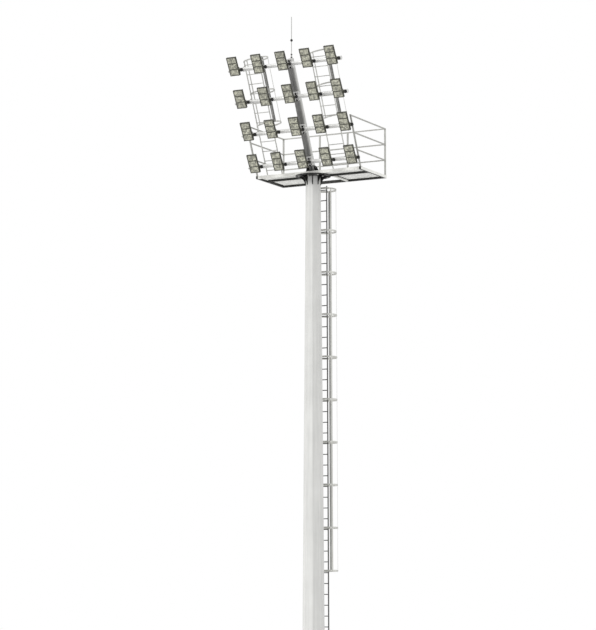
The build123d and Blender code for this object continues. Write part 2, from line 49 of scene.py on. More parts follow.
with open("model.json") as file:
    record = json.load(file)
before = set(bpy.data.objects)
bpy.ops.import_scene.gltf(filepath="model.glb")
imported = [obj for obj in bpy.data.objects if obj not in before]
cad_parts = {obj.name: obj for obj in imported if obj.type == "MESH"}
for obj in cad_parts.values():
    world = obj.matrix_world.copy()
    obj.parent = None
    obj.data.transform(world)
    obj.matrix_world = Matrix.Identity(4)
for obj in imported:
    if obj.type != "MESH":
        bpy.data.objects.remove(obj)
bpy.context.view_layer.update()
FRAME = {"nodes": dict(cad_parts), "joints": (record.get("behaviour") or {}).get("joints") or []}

# Directions in the tower's frame
FORWARD = (0, -1, 0)
REARWARD = (0, 1, 0)
LEFT = (-1, 0, 0)
RIGHT = (1, 0, 0)
UP = (0, 0, 1)
DOWN = (0, 0, -1)

# Places that the frame gives
PIVOTS = {joint["child"]: np.array(joint["pos_m"], float) for joint in FRAME["joints"]}
LAMPS = sorted(PIVOTS)
ROWS = range(1, 1 + max(int(name.split("_")[1]) for name in LAMPS))
COLUMNS = range(1, 1 + max(int(name.split("_")[2]) for name in LAMPS))
FIXED_BODY = "tower"


def lean_of_rack():
    """Angle of the rack from upright, from the lowest and the highest pivot of the first column."""
    rise = PIVOTS[f"lamp_{ROWS[-1]}_1"] - PIVOTS[f"lamp_{ROWS[0]}_1"]
    return math.atan2(-rise[1], rise[2])


def turned(angle, at=(0.0, 0.0, 0.0)):
    """A turn about X by an angle in radians and then a move, as a 4 x 4 array."""
    c, s = math.cos(angle), math.sin(angle)
    x, y, z = at
    return np.array([[1, 0, 0, x], [0, c, -s, y], [0, s, c, z], [0, 0, 0, 1.0]])


FLOOR_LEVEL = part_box("floor_gratings")[1].z
SHAFT_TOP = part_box("pole_shaft")[1].z
BASE_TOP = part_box("pole_shaft")[0].z
RACK_LEAN = lean_of_rack()
SPINE_AXIS_DROP = 0.060
RACK = turned(RACK_LEAN, (0, 0, FLOOR_LEVEL - SPINE_AXIS_DROP))

# Sizes of the pole, as the solids have them
POLE_SIDES = 8
SIDE_ANGLE = 2 * math.pi / POLE_SIDES
POLE_HALF_AT_GROUND = 0.2925
POLE_HALF_AT_TOP = 0.196
POLE_SLOPE = (POLE_HALF_AT_GROUND - POLE_HALF_AT_TOP) / SHAFT_TOP
BACK_SIDE = turned(math.atan(POLE_SLOPE), (0, POLE_HALF_AT_GROUND, 0))

# Sizes of the spine and the arms, as the solids have them
SPINE_RADIUS = 0.110
ARM_RADIUS = 0.055
ARM_FORWARD = 0.220
SADDLE_HALF_HEIGHT = 0.120
SADDLE_BACK = 0.065
PIVOT_RISE = 0.035

# Sizes of a floodlight, from its pivot, as the solids have them
LAMP_LEAN = math.radians(30)
LAMP_HALF = 0.150
LAMP_BOTTOM = -0.134
LAMP_TOP = 0.406
LAMP_FRONT = -0.090
LAMP_BACK = -0.038
DRIVER_BACK = 0.004
DRIVER_TOP = -0.024
DRIVER_HALF = 0.135
COOLING_FINS = 6
COOLING_FIN_THICKNESS = 0.005
WINDOW_BORDER = 0.022
WINDOW_DEPTH = 0.006
WINDOW_COUNT = 3
WINDOW_PITCH = (LAMP_TOP - LAMP_BOTTOM - WINDOW_BORDER) / WINDOW_COUNT
WINDOW_HALF = (WINDOW_PITCH - WINDOW_BORDER) / 2
WINDOW_MIDDLES = LAMP_BOTTOM + WINDOW_BORDER + WINDOW_HALF + WINDOW_PITCH * np.arange(WINDOW_COUNT)
DIVIDERS = (WINDOW_MIDDLES[:-1] + WINDOW_MIDDLES[1:]) / 2
KNOB_START = 0.179

# Sizes of the ladders and their cages, as the solids have them
CAGE_START, CAGE_HOOP_STEP, CAGE_HOOPS = 2.88, 1.2, 10
CAGE_HOOP_LEVELS = CAGE_START + CAGE_HOOP_STEP * np.arange(CAGE_HOOPS)
POLE_LADDER_BACK = 0.235
POLE_LADDER_HALF = 0.210
POLE_HOOP_RADIUS = 0.336
RACK_LADDER_MIDDLES = (-1.130, 0.970)
RACK_LADDER_BACK = -0.132
RACK_LADDER_HALF = 0.240
RACK_HOOP_RADIUS = 0.358
RACK_HOOP_RISE = 0.170
HOOP_THICKNESS = 0.006
STRAP_THICKNESS = 0.005

# Sizes of the fittings that more than one function needs
FOOT_PLATE_THICKNESS = 0.008
REAR_PLATE_HALF = 0.050
REAR_PLATE_THICKNESS = 0.004
CLAMP_REACH = 0.115
CLAMP_THICKNESS = 0.009
CLAMP_FRONT = ARM_FORWARD + ARM_RADIUS + 0.0005
BAND_RISE = 0.075
BAND_LUG_THICKNESS = 0.006
BEZEL_INSET = 0.0095

Surface = namedtuple("Surface", "points triangles quads")
NO_TRIANGLES = np.zeros((0, 3), int)


def ring_quads(count, width):
    """Quads between neighbouring rings of points: `count` rings of `width` points, numbered ring by ring."""
    ring, point = np.meshgrid(np.arange(count - 1), np.arange(width), indexing="ij")
    beside = (point + 1) % width
    near, far = ring * width, (ring + 1) * width
    return np.stack([near + point, near + beside, far + beside, far + point], axis=-1).reshape(-1, 4)


def ringed(rings, start=None, end=None):
    """Rings of points joined by quads. A tip at the start or the end closes it there with a fan."""
    count, width = rings.shape[:2]
    points = rings.reshape(-1, 3)
    around = np.arange(width)
    beside = np.roll(around, -1)
    last = (count - 1) * width
    fans = [NO_TRIANGLES]
    for tip, first, second in ((start, beside, around), (end, last + around, last + beside)):
        if tip is not None:
            fans.append(np.stack([np.full(width, len(points)), first, second], axis=-1))
            points = np.vstack([points, [tip]])
    return Surface(points, np.concatenate(fans), ring_quads(count, width))


def joined(surfaces):
    """Several surfaces as one."""
    surfaces = list(surfaces)
    starts = np.cumsum([0] + [len(s.points) for s in surfaces[:-1]])
    return Surface(
        np.concatenate([s.points for s in surfaces]),
        np.concatenate([s.triangles + start for s, start in zip(surfaces, starts)]),
        np.concatenate([s.quads + start for s, start in zip(surfaces, starts)]),
    )


def moved(surface, matrix):
    """A surface carried by a 4 x 4 array: every point p becomes the array's turn of p plus its move."""
    points = surface.points @ matrix[:3, :3].T + matrix[:3, 3]
    return Surface(points, surface.triangles, surface.quads)


def copies(surface, matrices):
    """One copy of a surface for each 4 x 4 array, joined: every array turns and moves every point at once."""
    matrices = np.asarray(matrices, float)
    points = np.einsum("kij,nj->kni", matrices[:, :3, :3], surface.points) + matrices[:, None, :3, 3]
    steps = (np.arange(len(matrices)) * len(surface.points))[:, None, None]
    return Surface(
        points.reshape(-1, 3),
        (surface.triangles[None] + steps).reshape(-1, 3),
        (surface.quads[None] + steps).reshape(-1, 4),
    )


def to_direction(direction):
    """The turn that takes +Z to a direction, as a 4 x 4 array."""
    turn = np.eye(4)
    turn[:3, :3] = np.array(Vector(direction).to_track_quat("Z", "Y").to_matrix())
    return turn


def standing(place, direction):
    """The 4 x 4 array that stands a fitting at a place, with its +Z along a direction."""
    return turned(0, place) @ to_direction(direction)


def at_points(points, direction=None):
    """4 x 4 arrays that stand a fitting at each point, with its +Z along a direction, or unturned."""
    points = np.atleast_2d(np.asarray(points, float))
    turn = np.eye(4) if direction is None else to_direction(direction)
    arrays = np.tile(turn, (len(points), 1, 1))
    arrays[:, :3, 3] = points
    return arrays


def about_z(angle):
    """A turn about Z as a 4 x 4 array."""
    c, s = math.cos(angle), math.sin(angle)
    return np.array([[c, -s, 0, 0], [s, c, 0, 0], [0, 0, 1, 0], [0, 0, 0, 1.0]])


def lathed(profile, sides, lobes=0, depth=0.0):
    """A profile of (radius, height) turned about Z: a point at angle t is (r cos t, r sin t, h). Ends on the
    axis are closed by a fan. With lobes the radius is r (1 + depth cos(lobes t))."""
    profile = np.asarray(profile, float)
    on_axis = profile[:, 0] == 0
    rings = profile[~on_axis]
    t = np.linspace(0, 2 * math.pi, sides, endpoint=False)
    radius = rings[:, :1] * (1 + depth * np.cos(lobes * t))
    height = np.broadcast_to(rings[:, 1:2], radius.shape)
    tips = [(0, 0, profile[end, 1]) if on_axis[end] else None for end in (0, -1)]
    return ringed(np.stack([radius * np.cos(t), radius * np.sin(t), height], axis=-1), *tips)


def unit(vectors):
    """Vectors brought to length one."""
    vectors = np.asarray(vectors, float)
    return vectors / np.linalg.norm(vectors, axis=-1, keepdims=True)


def carried(outline, path, up, closed=False):
    """An outline of (side, up) offsets carried along a path that lies square to `up`: each point is
    p + a (t x up) + b up, where t is the path's direction. Open ends are closed by fans."""
    outline = np.asarray(outline, float)
    path = np.asarray(path, float)
    up = unit(up)
    if closed:
        along = unit(np.roll(path, -1, axis=0) - np.roll(path, 1, axis=0))
    else:
        along = unit(np.gradient(path, axis=0))
    side = unit(np.cross(along, up))
    rings = path[:, None] + outline[None, :, :1] * side[:, None] + outline[None, :, 1:2] * up
    if closed:
        count, width = rings.shape[:2]
        return Surface(rings.reshape(-1, 3), NO_TRIANGLES, ring_quads(count + 1, width) % (count * width))
    middle = outline.mean(axis=0)
    tips = path[[0, -1]] + middle[0] * side[[0, -1]] + middle[1] * up
    return ringed(rings, *tips)


def circle(radius, sides):
    """Points round a circle, clockwise, so that a carried outline faces outwards."""
    t = -np.linspace(0, 2 * math.pi, sides, endpoint=False)
    return np.stack([radius * np.cos(t), radius * np.sin(t)], axis=-1)


def flat_outline(width, height, edge):
    """A flat bar's outline with small chamfers, clockwise."""
    a, b = width / 2, height / 2
    points = [(a, b - edge), (a, edge - b), (a - edge, -b), (edge - a, -b),
              (-a, edge - b), (-a, b - edge), (edge - a, b), (a - edge, b)]
    return np.array(points)


def flat_bar(start, end, width, height, up, edge):
    """A flat bar between two points, its height along `up`."""
    return carried(flat_outline(width, height, edge), [start, end], up)


def rounded_rectangle(half_width, half_height, corner, per_corner=5):
    """Points round a rectangle with round corners, anticlockwise: four quarter circles about their centres."""
    t = np.linspace(0, math.pi / 2, per_corner)
    parts = []
    for turn, (sx, sy) in enumerate(((1, 1), (-1, 1), (-1, -1), (1, -1))):
        angle = t + turn * math.pi / 2
        x, y = sx * (half_width - corner), sy * (half_height - corner)
        parts.append(np.stack([x + corner * np.cos(angle), y + corner * np.sin(angle)], axis=-1))
    return np.concatenate(parts)


def rounded_plate(half_width, half_height, corner, thickness, edge):
    """A plate on the XY plane with round corners and a softened upper edge: the outline is repeated at the
    foot, at the shoulder and, drawn in by the edge, at the top, and both faces are fans."""
    sharpest = 0.0001
    outline = rounded_rectangle(half_width, half_height, corner)
    inner = rounded_rectangle(half_width - edge, half_height - edge, max(corner - edge, sharpest))
    levels = [(outline, 0.0), (outline, thickness - edge), (inner, thickness)]
    rings = np.stack([np.column_stack([ring, np.full(len(ring), level)]) for ring, level in levels])
    return ringed(rings, (0, 0, 0), (0, 0, thickness))


def foot_plate(half_width, half_depth):
    """A bolted or welded plate under the foot of a post."""
    return rounded_plate(half_width, half_depth, corner=0.006, thickness=FOOT_PLATE_THICKNESS, edge=0.0015)


def hex_bolt(across, height, washer=True):
    """A hexagon head with a chamfered crown on a round washer, standing on the XY plane and pointing up. Its
    proportions are shares of its width across the flats and of its height."""
    corner = across / 2 / math.cos(math.pi / 6)
    lift = 0.22 * height if washer else 0.0
    shoulder, top = lift + 0.78 * height, lift + height
    head = lathed([(0, lift), (corner, lift), (corner, shoulder), (0.86 * corner, top), (0, top)], sides=6)
    if not washer:
        return head
    disc = lathed([(0, 0), (0.82 * across, 0), (0.84 * across, 0.4 * lift), (0.80 * across, lift), (0, lift)],
                  sides=14)
    return joined([disc, head])


def light_bolt(sizes, height):
    """The head of a bolt four fifths as wide as the small bolts."""
    return hex_bolt(0.8 * sizes.small_bolt_width, height)


def stud_nut(across, height):
    """A nut on a washer with the threaded end of its stud standing out of it: the thread is a zigzag of rings,
    a tenth narrower at every other one. Its proportions are shares of the nut's width and height."""
    corner = across / 2 / math.cos(math.pi / 6)
    lift, crown, tip = 0.2 * height, 1.12 * height, 1.98 * height
    disc = lathed([(0, 0), (0.84 * across, 0), (0.84 * across, 0.8 * lift), (0.8 * across, lift), (0, lift)],
                  sides=14)
    nut = lathed([(0, lift), (0.9 * corner, lift), (corner, 1.6 * lift), (corner, height),
                  (0.88 * corner, crown), (0, crown)], sides=6)
    thread = 0.3 * across
    levels = np.linspace(1.1 * height, 1.9 * height, 9)
    ridges = [(thread * (1.0 if k % 2 else 0.9), level) for k, level in enumerate(levels)]
    stud = lathed([(0, height), *ridges, (0.7 * thread, tip), (0, tip)], sides=10)
    return joined([disc, nut, stud])


def weld_bead(length, width):
    """A fillet of weld along +X with ripples: its section is a low round hump, and from ring k to the next its
    radius waves as half the width times 1 + 0.14 sin(1.7 k) + 0.06 sin(0.61 k)."""
    sides, fewest_rings, ring_step, end_swell = 6, 6, 0.55 * width, 0.55
    count = max(int(length / ring_step), fewest_rings)
    s = np.linspace(0, 1, count)
    t = np.linspace(0, 2 * math.pi, sides, endpoint=False)
    swell = 1 + 0.14 * np.sin(s * count * 1.7) + 0.06 * np.sin(s * count * 0.61)
    swell[[0, -1]] = end_swell
    x = np.broadcast_to((s * length)[:, None], (count, sides))
    y = swell[:, None] * np.cos(t) * width / 2
    z = swell[:, None] * np.sin(t) * width / 2
    return ringed(np.stack([x, y, z], axis=-1), (0, 0, 0), (length, 0, 0))


def bead_between(start, end, width):
    """A weld bead from one point to another."""
    start = np.asarray(start, float)
    along = np.asarray(end, float) - start
    turn = np.eye(4)
    turn[:3, :3] = np.array(Vector(along).to_track_quat("X", "Z").to_matrix())
    turn[:3, 3] = start
    return moved(weld_bead(np.linalg.norm(along), width), turn)


def mesh_object(name, surface, finish, uv=None, smooth=True):
    """A mesh object at the origin from a surface, with its finish. A UV map has one place for each point."""
    mesh = bpy.data.meshes.new(name)
    sizes = np.concatenate([np.full(len(surface.triangles), 3), np.full(len(surface.quads), 4)])
    corners = np.concatenate([surface.triangles.ravel(), surface.quads.ravel()])
    mesh.vertices.add(len(surface.points))
    mesh.vertices.foreach_set("co", surface.points.astype(np.float32).ravel())
    mesh.loops.add(len(corners))
    mesh.loops.foreach_set("vertex_index", corners.astype(np.int32))
    mesh.polygons.add(len(sizes))
    mesh.polygons.foreach_set("loop_start", (np.cumsum(sizes) - sizes).astype(np.int32))
    mesh.polygons.foreach_set("use_smooth", np.full(len(sizes), smooth))
    if uv is not None:
        layer = mesh.uv_layers.new(name="UVMap")
        layer.data.foreach_set("uv", uv[corners].astype(np.float32).ravel())
    mesh.update(calc_edges=True)
    mesh.validate()
    mesh.materials.append(finish)
    piece = bpy.data.objects.new(name, mesh)
    bpy.context.scene.collection.objects.link(piece)
    return piece


class Finish:
    """A material being built: short calls for the nodes that the finishes share, on the object's own
    coordinates or its UV map."""

    def __init__(self, name, uv=False):
        self.material = bpy.data.materials.new(name)
        self.material.use_nodes = True
        self.nodes = self.material.node_tree.nodes
        self.links = self.material.node_tree.links
        self.nodes.clear()
        self.shader = self.nodes.new("ShaderNodeBsdfPrincipled")
        output = self.nodes.new("ShaderNodeOutputMaterial")
        self.links.new(self.shader.outputs["BSDF"], output.inputs["Surface"])
        source = self.nodes.new("ShaderNodeTexCoord")
        self.place = source.outputs["UV" if uv else "Object"]

    def put(self, socket, value):
        """Links a socket to another, or sets its value."""
        if isinstance(value, bpy.types.NodeSocket):
            self.links.new(value, socket)
        elif hasattr(socket.default_value, "__len__") and not hasattr(value, "__len__"):
            socket.default_value = [value] * len(socket.default_value)
        elif hasattr(value, "__len__") and len(value) == 3 and len(socket.default_value) == 4:
            socket.default_value = (*value, 1.0)
        else:
            socket.default_value = value

    def stretched(self, scale):
        """The coordinates, scaled along each axis."""
        node = self.nodes.new("ShaderNodeMapping")
        self.put(node.inputs["Vector"], self.place)
        node.inputs["Scale"].default_value = scale
        return node.outputs["Vector"]

    def noise(self, scale, detail=4.0, roughness=0.55, stretch=(1, 1, 1)):
        """Cloudy noise from 0 to 1."""
        node = self.nodes.new("ShaderNodeTexNoise")
        self.put(node.inputs["Vector"], self.stretched(stretch))
        node.inputs["Scale"].default_value = scale
        node.inputs["Detail"].default_value = detail
        node.inputs["Roughness"].default_value = roughness
        return node.outputs["Fac"]

    def flakes(self, scale, stretch=(1, 1, 1)):
        """One random grey for each cell of a honeycomb, as zinc crystals have."""
        node = self.nodes.new("ShaderNodeTexVoronoi")
        self.put(node.inputs["Vector"], self.stretched(stretch))
        node.inputs["Scale"].default_value = scale
        tone = self.nodes.new("ShaderNodeSeparateColor")
        self.put(tone.inputs["Color"], node.outputs["Color"])
        return tone.outputs["Red"]

    def ramp(self, value, *stops):
        """Grey or colour by value: stops are (place, grey or colour)."""
        node = self.nodes.new("ShaderNodeValToRGB")
        self.put(node.inputs["Fac"], value)
        elements = node.color_ramp.elements
        while len(elements) < len(stops):
            elements.new(0.5)
        for element, (place, colour) in zip(elements, stops):
            element.position = place
            colour = (colour, colour, colour) if not hasattr(colour, "__len__") else colour
            element.color = (*colour, 1.0)
        return node.outputs["Color"]

    def layered(self, colour, *layers):
        """A colour under layers that each darken or tint it: their product, channel by channel."""
        for layer in layers:
            node = self.nodes.new("ShaderNodeMix")
            node.data_type = "RGBA"
            node.blend_type = "MULTIPLY"
            self.put(node.inputs["Factor"], 1.0)
            self.put(node.inputs["A"], colour)
            self.put(node.inputs["B"], layer)
            colour = node.outputs["Result"]
        return colour

    def between(self, value, low, high):
        """A value from 0 to 1 spread between two limits."""
        node = self.nodes.new("ShaderNodeMapRange")
        self.put(node.inputs["Value"], value)
        node.inputs["To Min"].default_value = low
        node.inputs["To Max"].default_value = high
        return node.outputs["Result"]

    def across(self, low, high):
        """0 to 1 along X from one place to another."""
        split = self.nodes.new("ShaderNodeSeparateXYZ")
        self.put(split.inputs["Vector"], self.place)
        node = self.nodes.new("ShaderNodeMapRange")
        self.put(node.inputs["Value"], split.outputs["X"])
        node.inputs["From Min"].default_value = low
        node.inputs["From Max"].default_value = high
        return node.outputs["Result"]

    def from_cell_middle(self):
        """Distance from the nearest whole-number place, so that every lens of a grid gets the same rings."""
        value = self.place
        for operation, shift in (("ADD", 0.5), ("FRACTION", 0.0), ("SUBTRACT", 0.5)):
            node = self.nodes.new("ShaderNodeVectorMath")
            node.operation = operation
            self.put(node.inputs[0], value)
            node.inputs[1].default_value = (shift, shift, 0.0)
            value = node.outputs["Vector"]
        node = self.nodes.new("ShaderNodeVectorMath")
        node.operation = "LENGTH"
        self.put(node.inputs[0], value)
        return node.outputs["Value"]

    def summed(self, first, second, share):
        """first + share * second."""
        node = self.nodes.new("ShaderNodeMath")
        node.operation = "MULTIPLY_ADD"
        self.put(node.inputs[0], second)
        node.inputs[1].default_value = share
        self.put(node.inputs[2], first)
        return node.outputs["Value"]

    def bumped(self, height, strength, distance):
        """A bump from a height."""
        node = self.nodes.new("ShaderNodeBump")
        node.inputs["Strength"].default_value = strength
        node.inputs["Distance"].default_value = distance
        self.put(node.inputs["Height"], height)
        self.links.new(node.outputs["Normal"], self.shader.inputs["Normal"])

    def done(self, **sockets):
        """Sets the shader's sockets by name and gives the material."""
        for name, value in sockets.items():
            self.put(self.shader.inputs[name.replace("_", " ")], value)
        return self.material


def linear(colour):
    """A display colour as light, channel by channel."""
    return tuple(c / 12.92 if c <= 0.04045 else ((c + 0.055) / 1.055) ** 2.4 for c in colour)


def shade(colour, factor):
    """A colour made lighter or darker."""
    return tuple(min(c * factor, 1.0) for c in colour)


def zinc_finish(name, colour, flake, contrast, metal, rough, stain):
    """Hot dip galvanised steel: faceted zinc flakes, soft clouds, and streaks that run down. The flakes are a
    number to the metre, and their contrast and the stain are shares of the colour."""
    finish = Finish(name)
    base = linear(colour)
    crystals = finish.flakes(flake)
    flakes = finish.ramp(crystals, (0.0, shade(base, 1 - contrast)), (1.0, shade(base, 1 + contrast)))
    clouds = finish.ramp(finish.noise(3.2, detail=5.0), (0.32, 0.86), (0.70, 1.0))
    run_down = finish.noise(9.0, detail=5.0, roughness=0.6, stretch=(1, 1, 0.06))
    streaks = finish.ramp(run_down, (0.46, 1 - stain), (0.62, 1.0))
    grain = finish.noise(240.0, detail=3.0)
    finish.bumped(finish.summed(grain, crystals, 0.6), strength=0.16, distance=0.0012)
    toned = finish.layered(flakes, clouds, streaks)
    roughness = finish.between(finish.noise(16.0), rough - 0.08, rough + 0.14)
    return finish.done(Base_Color=toned, Metallic=metal, Roughness=roughness)


def paint_finish(name, colour):
    """Satin paint over rolled steel: orange peel, faint vertical streaks, dust and scuffs."""
    finish = Finish(name)
    base = linear(colour)
    clouds = finish.ramp(finish.noise(1.7, detail=5.0), (0.30, shade(base, 0.93)), (0.72, shade(base, 1.03)))
    run_down = finish.noise(14.0, detail=6.0, roughness=0.62, stretch=(1, 1, 0.035))
    streaks = finish.ramp(run_down, (0.44, 0.92), (0.60, 1.0))
    specks = finish.ramp(finish.noise(95.0, detail=2.0), (0.70, 1.0), (0.80, (0.84, 0.82, 0.78)))
    peel = finish.noise(420.0, detail=2.0)
    finish.bumped(finish.summed(peel, finish.noise(6.0, detail=3.0), 1.4), strength=0.10, distance=0.001)
    toned = finish.layered(clouds, streaks, specks)
    roughness = finish.between(finish.noise(22.0, detail=5.0), 0.34, 0.56)
    return finish.done(Base_Color=toned, Roughness=roughness, Coat_Weight=0.15)


def spine_painted_light_finish(name, colour):
    """Zinc on a round tube, with painted shade over most of its width and a painted highlight along its right
    edge, over long streaks and soft flakes."""
    finish = Finish(name)
    base = linear(colour)
    # Painted light: the tone across the tube is painted shade on its left and a painted highlight on its right
    side = finish.across(-SPINE_RADIUS, SPINE_RADIUS)
    tone = finish.ramp(side, (0.06, shade(base, 0.50)), (0.80, shade(base, 0.52)), (0.91, base),
                       (1.0, shade(base, 1.9)))
    flakes = finish.ramp(finish.flakes(46.0, stretch=(1, 1, 0.4)), (0.0, 0.90), (1.0, 1.0))
    run_down = finish.noise(16.0, detail=6.0, roughness=0.62, stretch=(1, 1, 0.05))
    streaks = finish.ramp(run_down, (0.44, 0.86), (0.60, 1.0))
    finish.bumped(finish.noise(180.0), strength=0.12, distance=0.001)
    toned = finish.layered(tone, flakes, streaks)
    roughness = finish.between(finish.noise(18.0, detail=5.0), 0.34, 0.55)
    return finish.done(Base_Color=toned, Metallic=0.15, Roughness=roughness)


def cast_finish(name, colour):
    """Die cast aluminium with a dark powder coat: fine grain and paler, dusty patches."""
    finish = Finish(name)
    base = linear(colour)
    grain = finish.ramp(finish.noise(320.0, detail=3.0), (0.3, shade(base, 0.82)), (0.7, shade(base, 1.18)))
    dust = finish.ramp(finish.noise(11.0, detail=6.0), (0.42, 1.0), (0.75, (1.25, 1.22, 1.10)))
    finish.bumped(finish.noise(520.0, detail=2.0), strength=0.22, distance=0.0008)
    roughness = finish.between(finish.noise(30.0), 0.45, 0.68)
    return finish.done(Base_Color=finish.layered(grain, dust), Metallic=0.25, Roughness=roughness)


def rubber_finish(name, colour):
    """Moulded black polymer: matt with fine pimples and worn, greyer patches."""
    finish = Finish(name)
    base = linear(colour)
    worn = finish.ramp(finish.noise(60.0, detail=5.0), (0.45, base), (0.80, shade(base, 2.2)))
    finish.bumped(finish.noise(900.0, detail=2.0), strength=0.25, distance=0.0005)
    roughness = finish.between(finish.noise(75.0, detail=3.0), 0.50, 0.75)
    return finish.done(Base_Color=worn, Roughness=roughness)


def plated_finish(name, colour):
    """Zinc plated fasteners: bright metal with a fine brushed grain and dull patches."""
    finish = Finish(name)
    base = linear(colour)
    dull = finish.ramp(finish.noise(70.0, detail=5.0), (0.38, shade(base, 0.66)), (0.68, base))
    brushed = finish.noise(700.0, detail=2.0, roughness=0.5, stretch=(1, 1, 0.2))
    finish.bumped(brushed, strength=0.15, distance=0.0004)
    roughness = finish.between(finish.noise(120.0, detail=3.0), 0.25, 0.48)
    return finish.done(Base_Color=dull, Metallic=0.8, Roughness=roughness)


def weld_finish(name, colour, lighter=1.0):
    """Weld metal under the coating: uneven tone and a rippled, slightly rough skin."""
    finish = Finish(name)
    base = linear(shade(colour, lighter))
    tone = finish.ramp(finish.noise(48.0, detail=5.0), (0.35, shade(base, 0.74)), (0.70, shade(base, 1.05)))
    finish.bumped(finish.noise(260.0), strength=0.35, distance=0.0012)
    return finish.done(Base_Color=tone, Metallic=0.3, Roughness=finish.between(finish.noise(90.0), 0.4, 0.65))


def lens_finish(name, colour):
    """Moulded lens plate: a khaki chip seen through each clear dome and a dark ring where the dome meets the
    plate, mottled from cell to cell, with a hard gloss."""
    finish = Finish(name, uv=True)
    base = linear(colour)
    cells = finish.ramp(finish.flakes(0.75), (0.0, shade(base, 0.45)), (0.55, base), (1.0, shade(base, 1.75)))
    mottle = finish.ramp(finish.noise(1.9, detail=5.0, roughness=0.7), (0.34, 0.66), (0.66, 1.12))
    rings = finish.ramp(finish.from_cell_middle(), (0.0, (0.80, 0.74, 0.40)), (0.13, (0.84, 0.79, 0.52)),
                        (0.17, 1.0), (0.36, 1.0), (0.43, 0.42), (0.50, 0.86))
    finish.bumped(finish.noise(26.0, detail=3.0), strength=0.2, distance=0.0006)
    toned = finish.layered(cells, mottle, rings)
    roughness = finish.between(finish.noise(6.0, detail=3.0), 0.22, 0.40)
    return finish.done(Base_Color=toned, Roughness=roughness, Coat_Weight=0.6, Coat_Roughness=0.12)


# Each finish: the function that makes it, the setting with its colour, and the function's own numbers, which
# for zinc are its flakes, contrast, metalness, roughness and stain
RECIPES = {
    "pole paint": (paint_finish, "pole"),
    # The spine's finish paints shade and a highlight across the tube
    "spine paint": (spine_painted_light_finish, "spine"),
    # Near-black steel of the flanges and ribs, painted shade between the ribs
    "dark steel": (zinc_finish, "dark_steel", 40.0, 0.14, 0.45, 0.40, 0.20),
    "arm steel": (zinc_finish, "arm", 60.0, 0.04, 0.15, 0.42, 0.06),
    "platform steel": (zinc_finish, "platform", 45.0, 0.05, 0.10, 0.45, 0.08),
    "rail steel": (zinc_finish, "rail", 70.0, 0.10, 0.30, 0.42, 0.14),
    "ladder steel": (zinc_finish, "ladder", 70.0, 0.12, 0.35, 0.40, 0.16),
    "grating steel": (zinc_finish, "grating", 90.0, 0.05, 0.0, 0.50, 0.06),
    # Darker copy of the platform steel, painted shade on the beams under the floor
    "shaded steel": (zinc_finish, "shaded", 45.0, 0.16, 0.30, 0.50, 0.20),
    "pole ladder steel": (zinc_finish, "pole_ladder", 70.0, 0.12, 0.35, 0.40, 0.16),
    "rod steel": (zinc_finish, "rod", 90.0, 0.10, 0.50, 0.35, 0.10),
    "strap steel": (zinc_finish, "strap", 70.0, 0.08, 0.25, 0.42, 0.10),
    # Darker steel for the cages' rear straps and plates, painted shade
    "weathered steel": (zinc_finish, "weathered", 60.0, 0.16, 0.35, 0.50, 0.20),
    "lamp casting": (cast_finish, "lamp"),
    "lamp back casting": (cast_finish, "lamp_back"),
    "lamp lens": (lens_finish, "lens"),
    "knob polymer": (rubber_finish, "knob"),
    "plated fasteners": (plated_finish, "fasteners"),
    "dark fasteners": (plated_finish, "dark_fasteners"),
    "pale weld": (weld_finish, "pole"),
    "dark weld": (weld_finish, "dark_steel", 1.25),
}
FINISHES = {}


def finish_named(name):
    """The finish of that name, made the first time it is asked for from its colour in the sidebar."""
    if name not in FINISHES:
        maker, setting, *numbers = RECIPES[name]
        colour = getattr(bpy.context.scene.tower_colours, setting)
        FINISHES[name] = maker(name.replace(" ", "_"), colour, *numbers)
    return FINISHES[name]


def dress(nodes, finish):
    """Gives solids of the frame their finish."""
    for node in nodes:
        slots = FRAME["nodes"][node].data.materials
        slots.clear()
        slots.append(finish)


def corners_of(node):
    """All corner points of one of the frame's solids."""
    vertices = FRAME["nodes"][node].data.vertices
    points = np.zeros(len(vertices) * 3, np.float32)
    vertices.foreach_get("co", points)
    return points.reshape(-1, 3)


def reach_along(frame, node):
    """The lowest and the highest corner of one of the frame's solids, measured along a 4 x 4 array's +Z."""
    points = corners_of(node)
    heights = (np.column_stack([points, np.ones(len(points))]) @ np.linalg.inv(frame).T)[:, 2]
    return heights.min(), heights.max()


def face_middles(node):
    """Middle points of the faces of one of the frame's solids."""
    faces = FRAME["nodes"][node].data.polygons
    middles = np.zeros(len(faces) * 3, np.float32)
    faces.foreach_get("center", middles)
    return middles.reshape(-1, 3)


def dress_faces(node, finish, chosen):
    """Gives the chosen faces of a solid a finish of their own."""
    mesh = FRAME["nodes"][node].data
    mesh.materials.append(finish)
    places = np.zeros(len(mesh.polygons), np.int32)
    mesh.polygons.foreach_get("material_index", places)
    places[chosen] = len(mesh.materials) - 1
    mesh.polygons.foreach_set("material_index", places)
    mesh.update()


def hoop_middle(ladder_back, hoop_radius, ladder_half):
    """How far back a cage hoop's middle stands, so that its ends meet the ladder's stringers."""
    reach = hoop_radius - HOOP_THICKNESS / 2
    return ladder_back + math.sqrt(reach**2 - ladder_half**2)


def around_hoop(x, y, height, radius, degrees, inwards=False):
    """The 4 x 4 array that stands a fitting on a hoop at an angle, pointing outwards or inwards."""
    angle = math.radians(degrees)
    out = np.array([math.cos(angle), math.sin(angle), 0])
    return standing(np.array([x, y, height]) + out * radius, -out if inwards else out)


def add_fitting(name, surface, finish, body=FIXED_BODY, crease=32.0, uv=None):
    """A small fitting: its mesh, its finish and the body it rides on.
    Edges sharper than the crease angle stay sharp."""
    piece = mesh_object(name, surface, finish_named(finish), uv)
    piece.data.set_sharp_from_angle(angle=math.radians(crease))
    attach(piece, body)


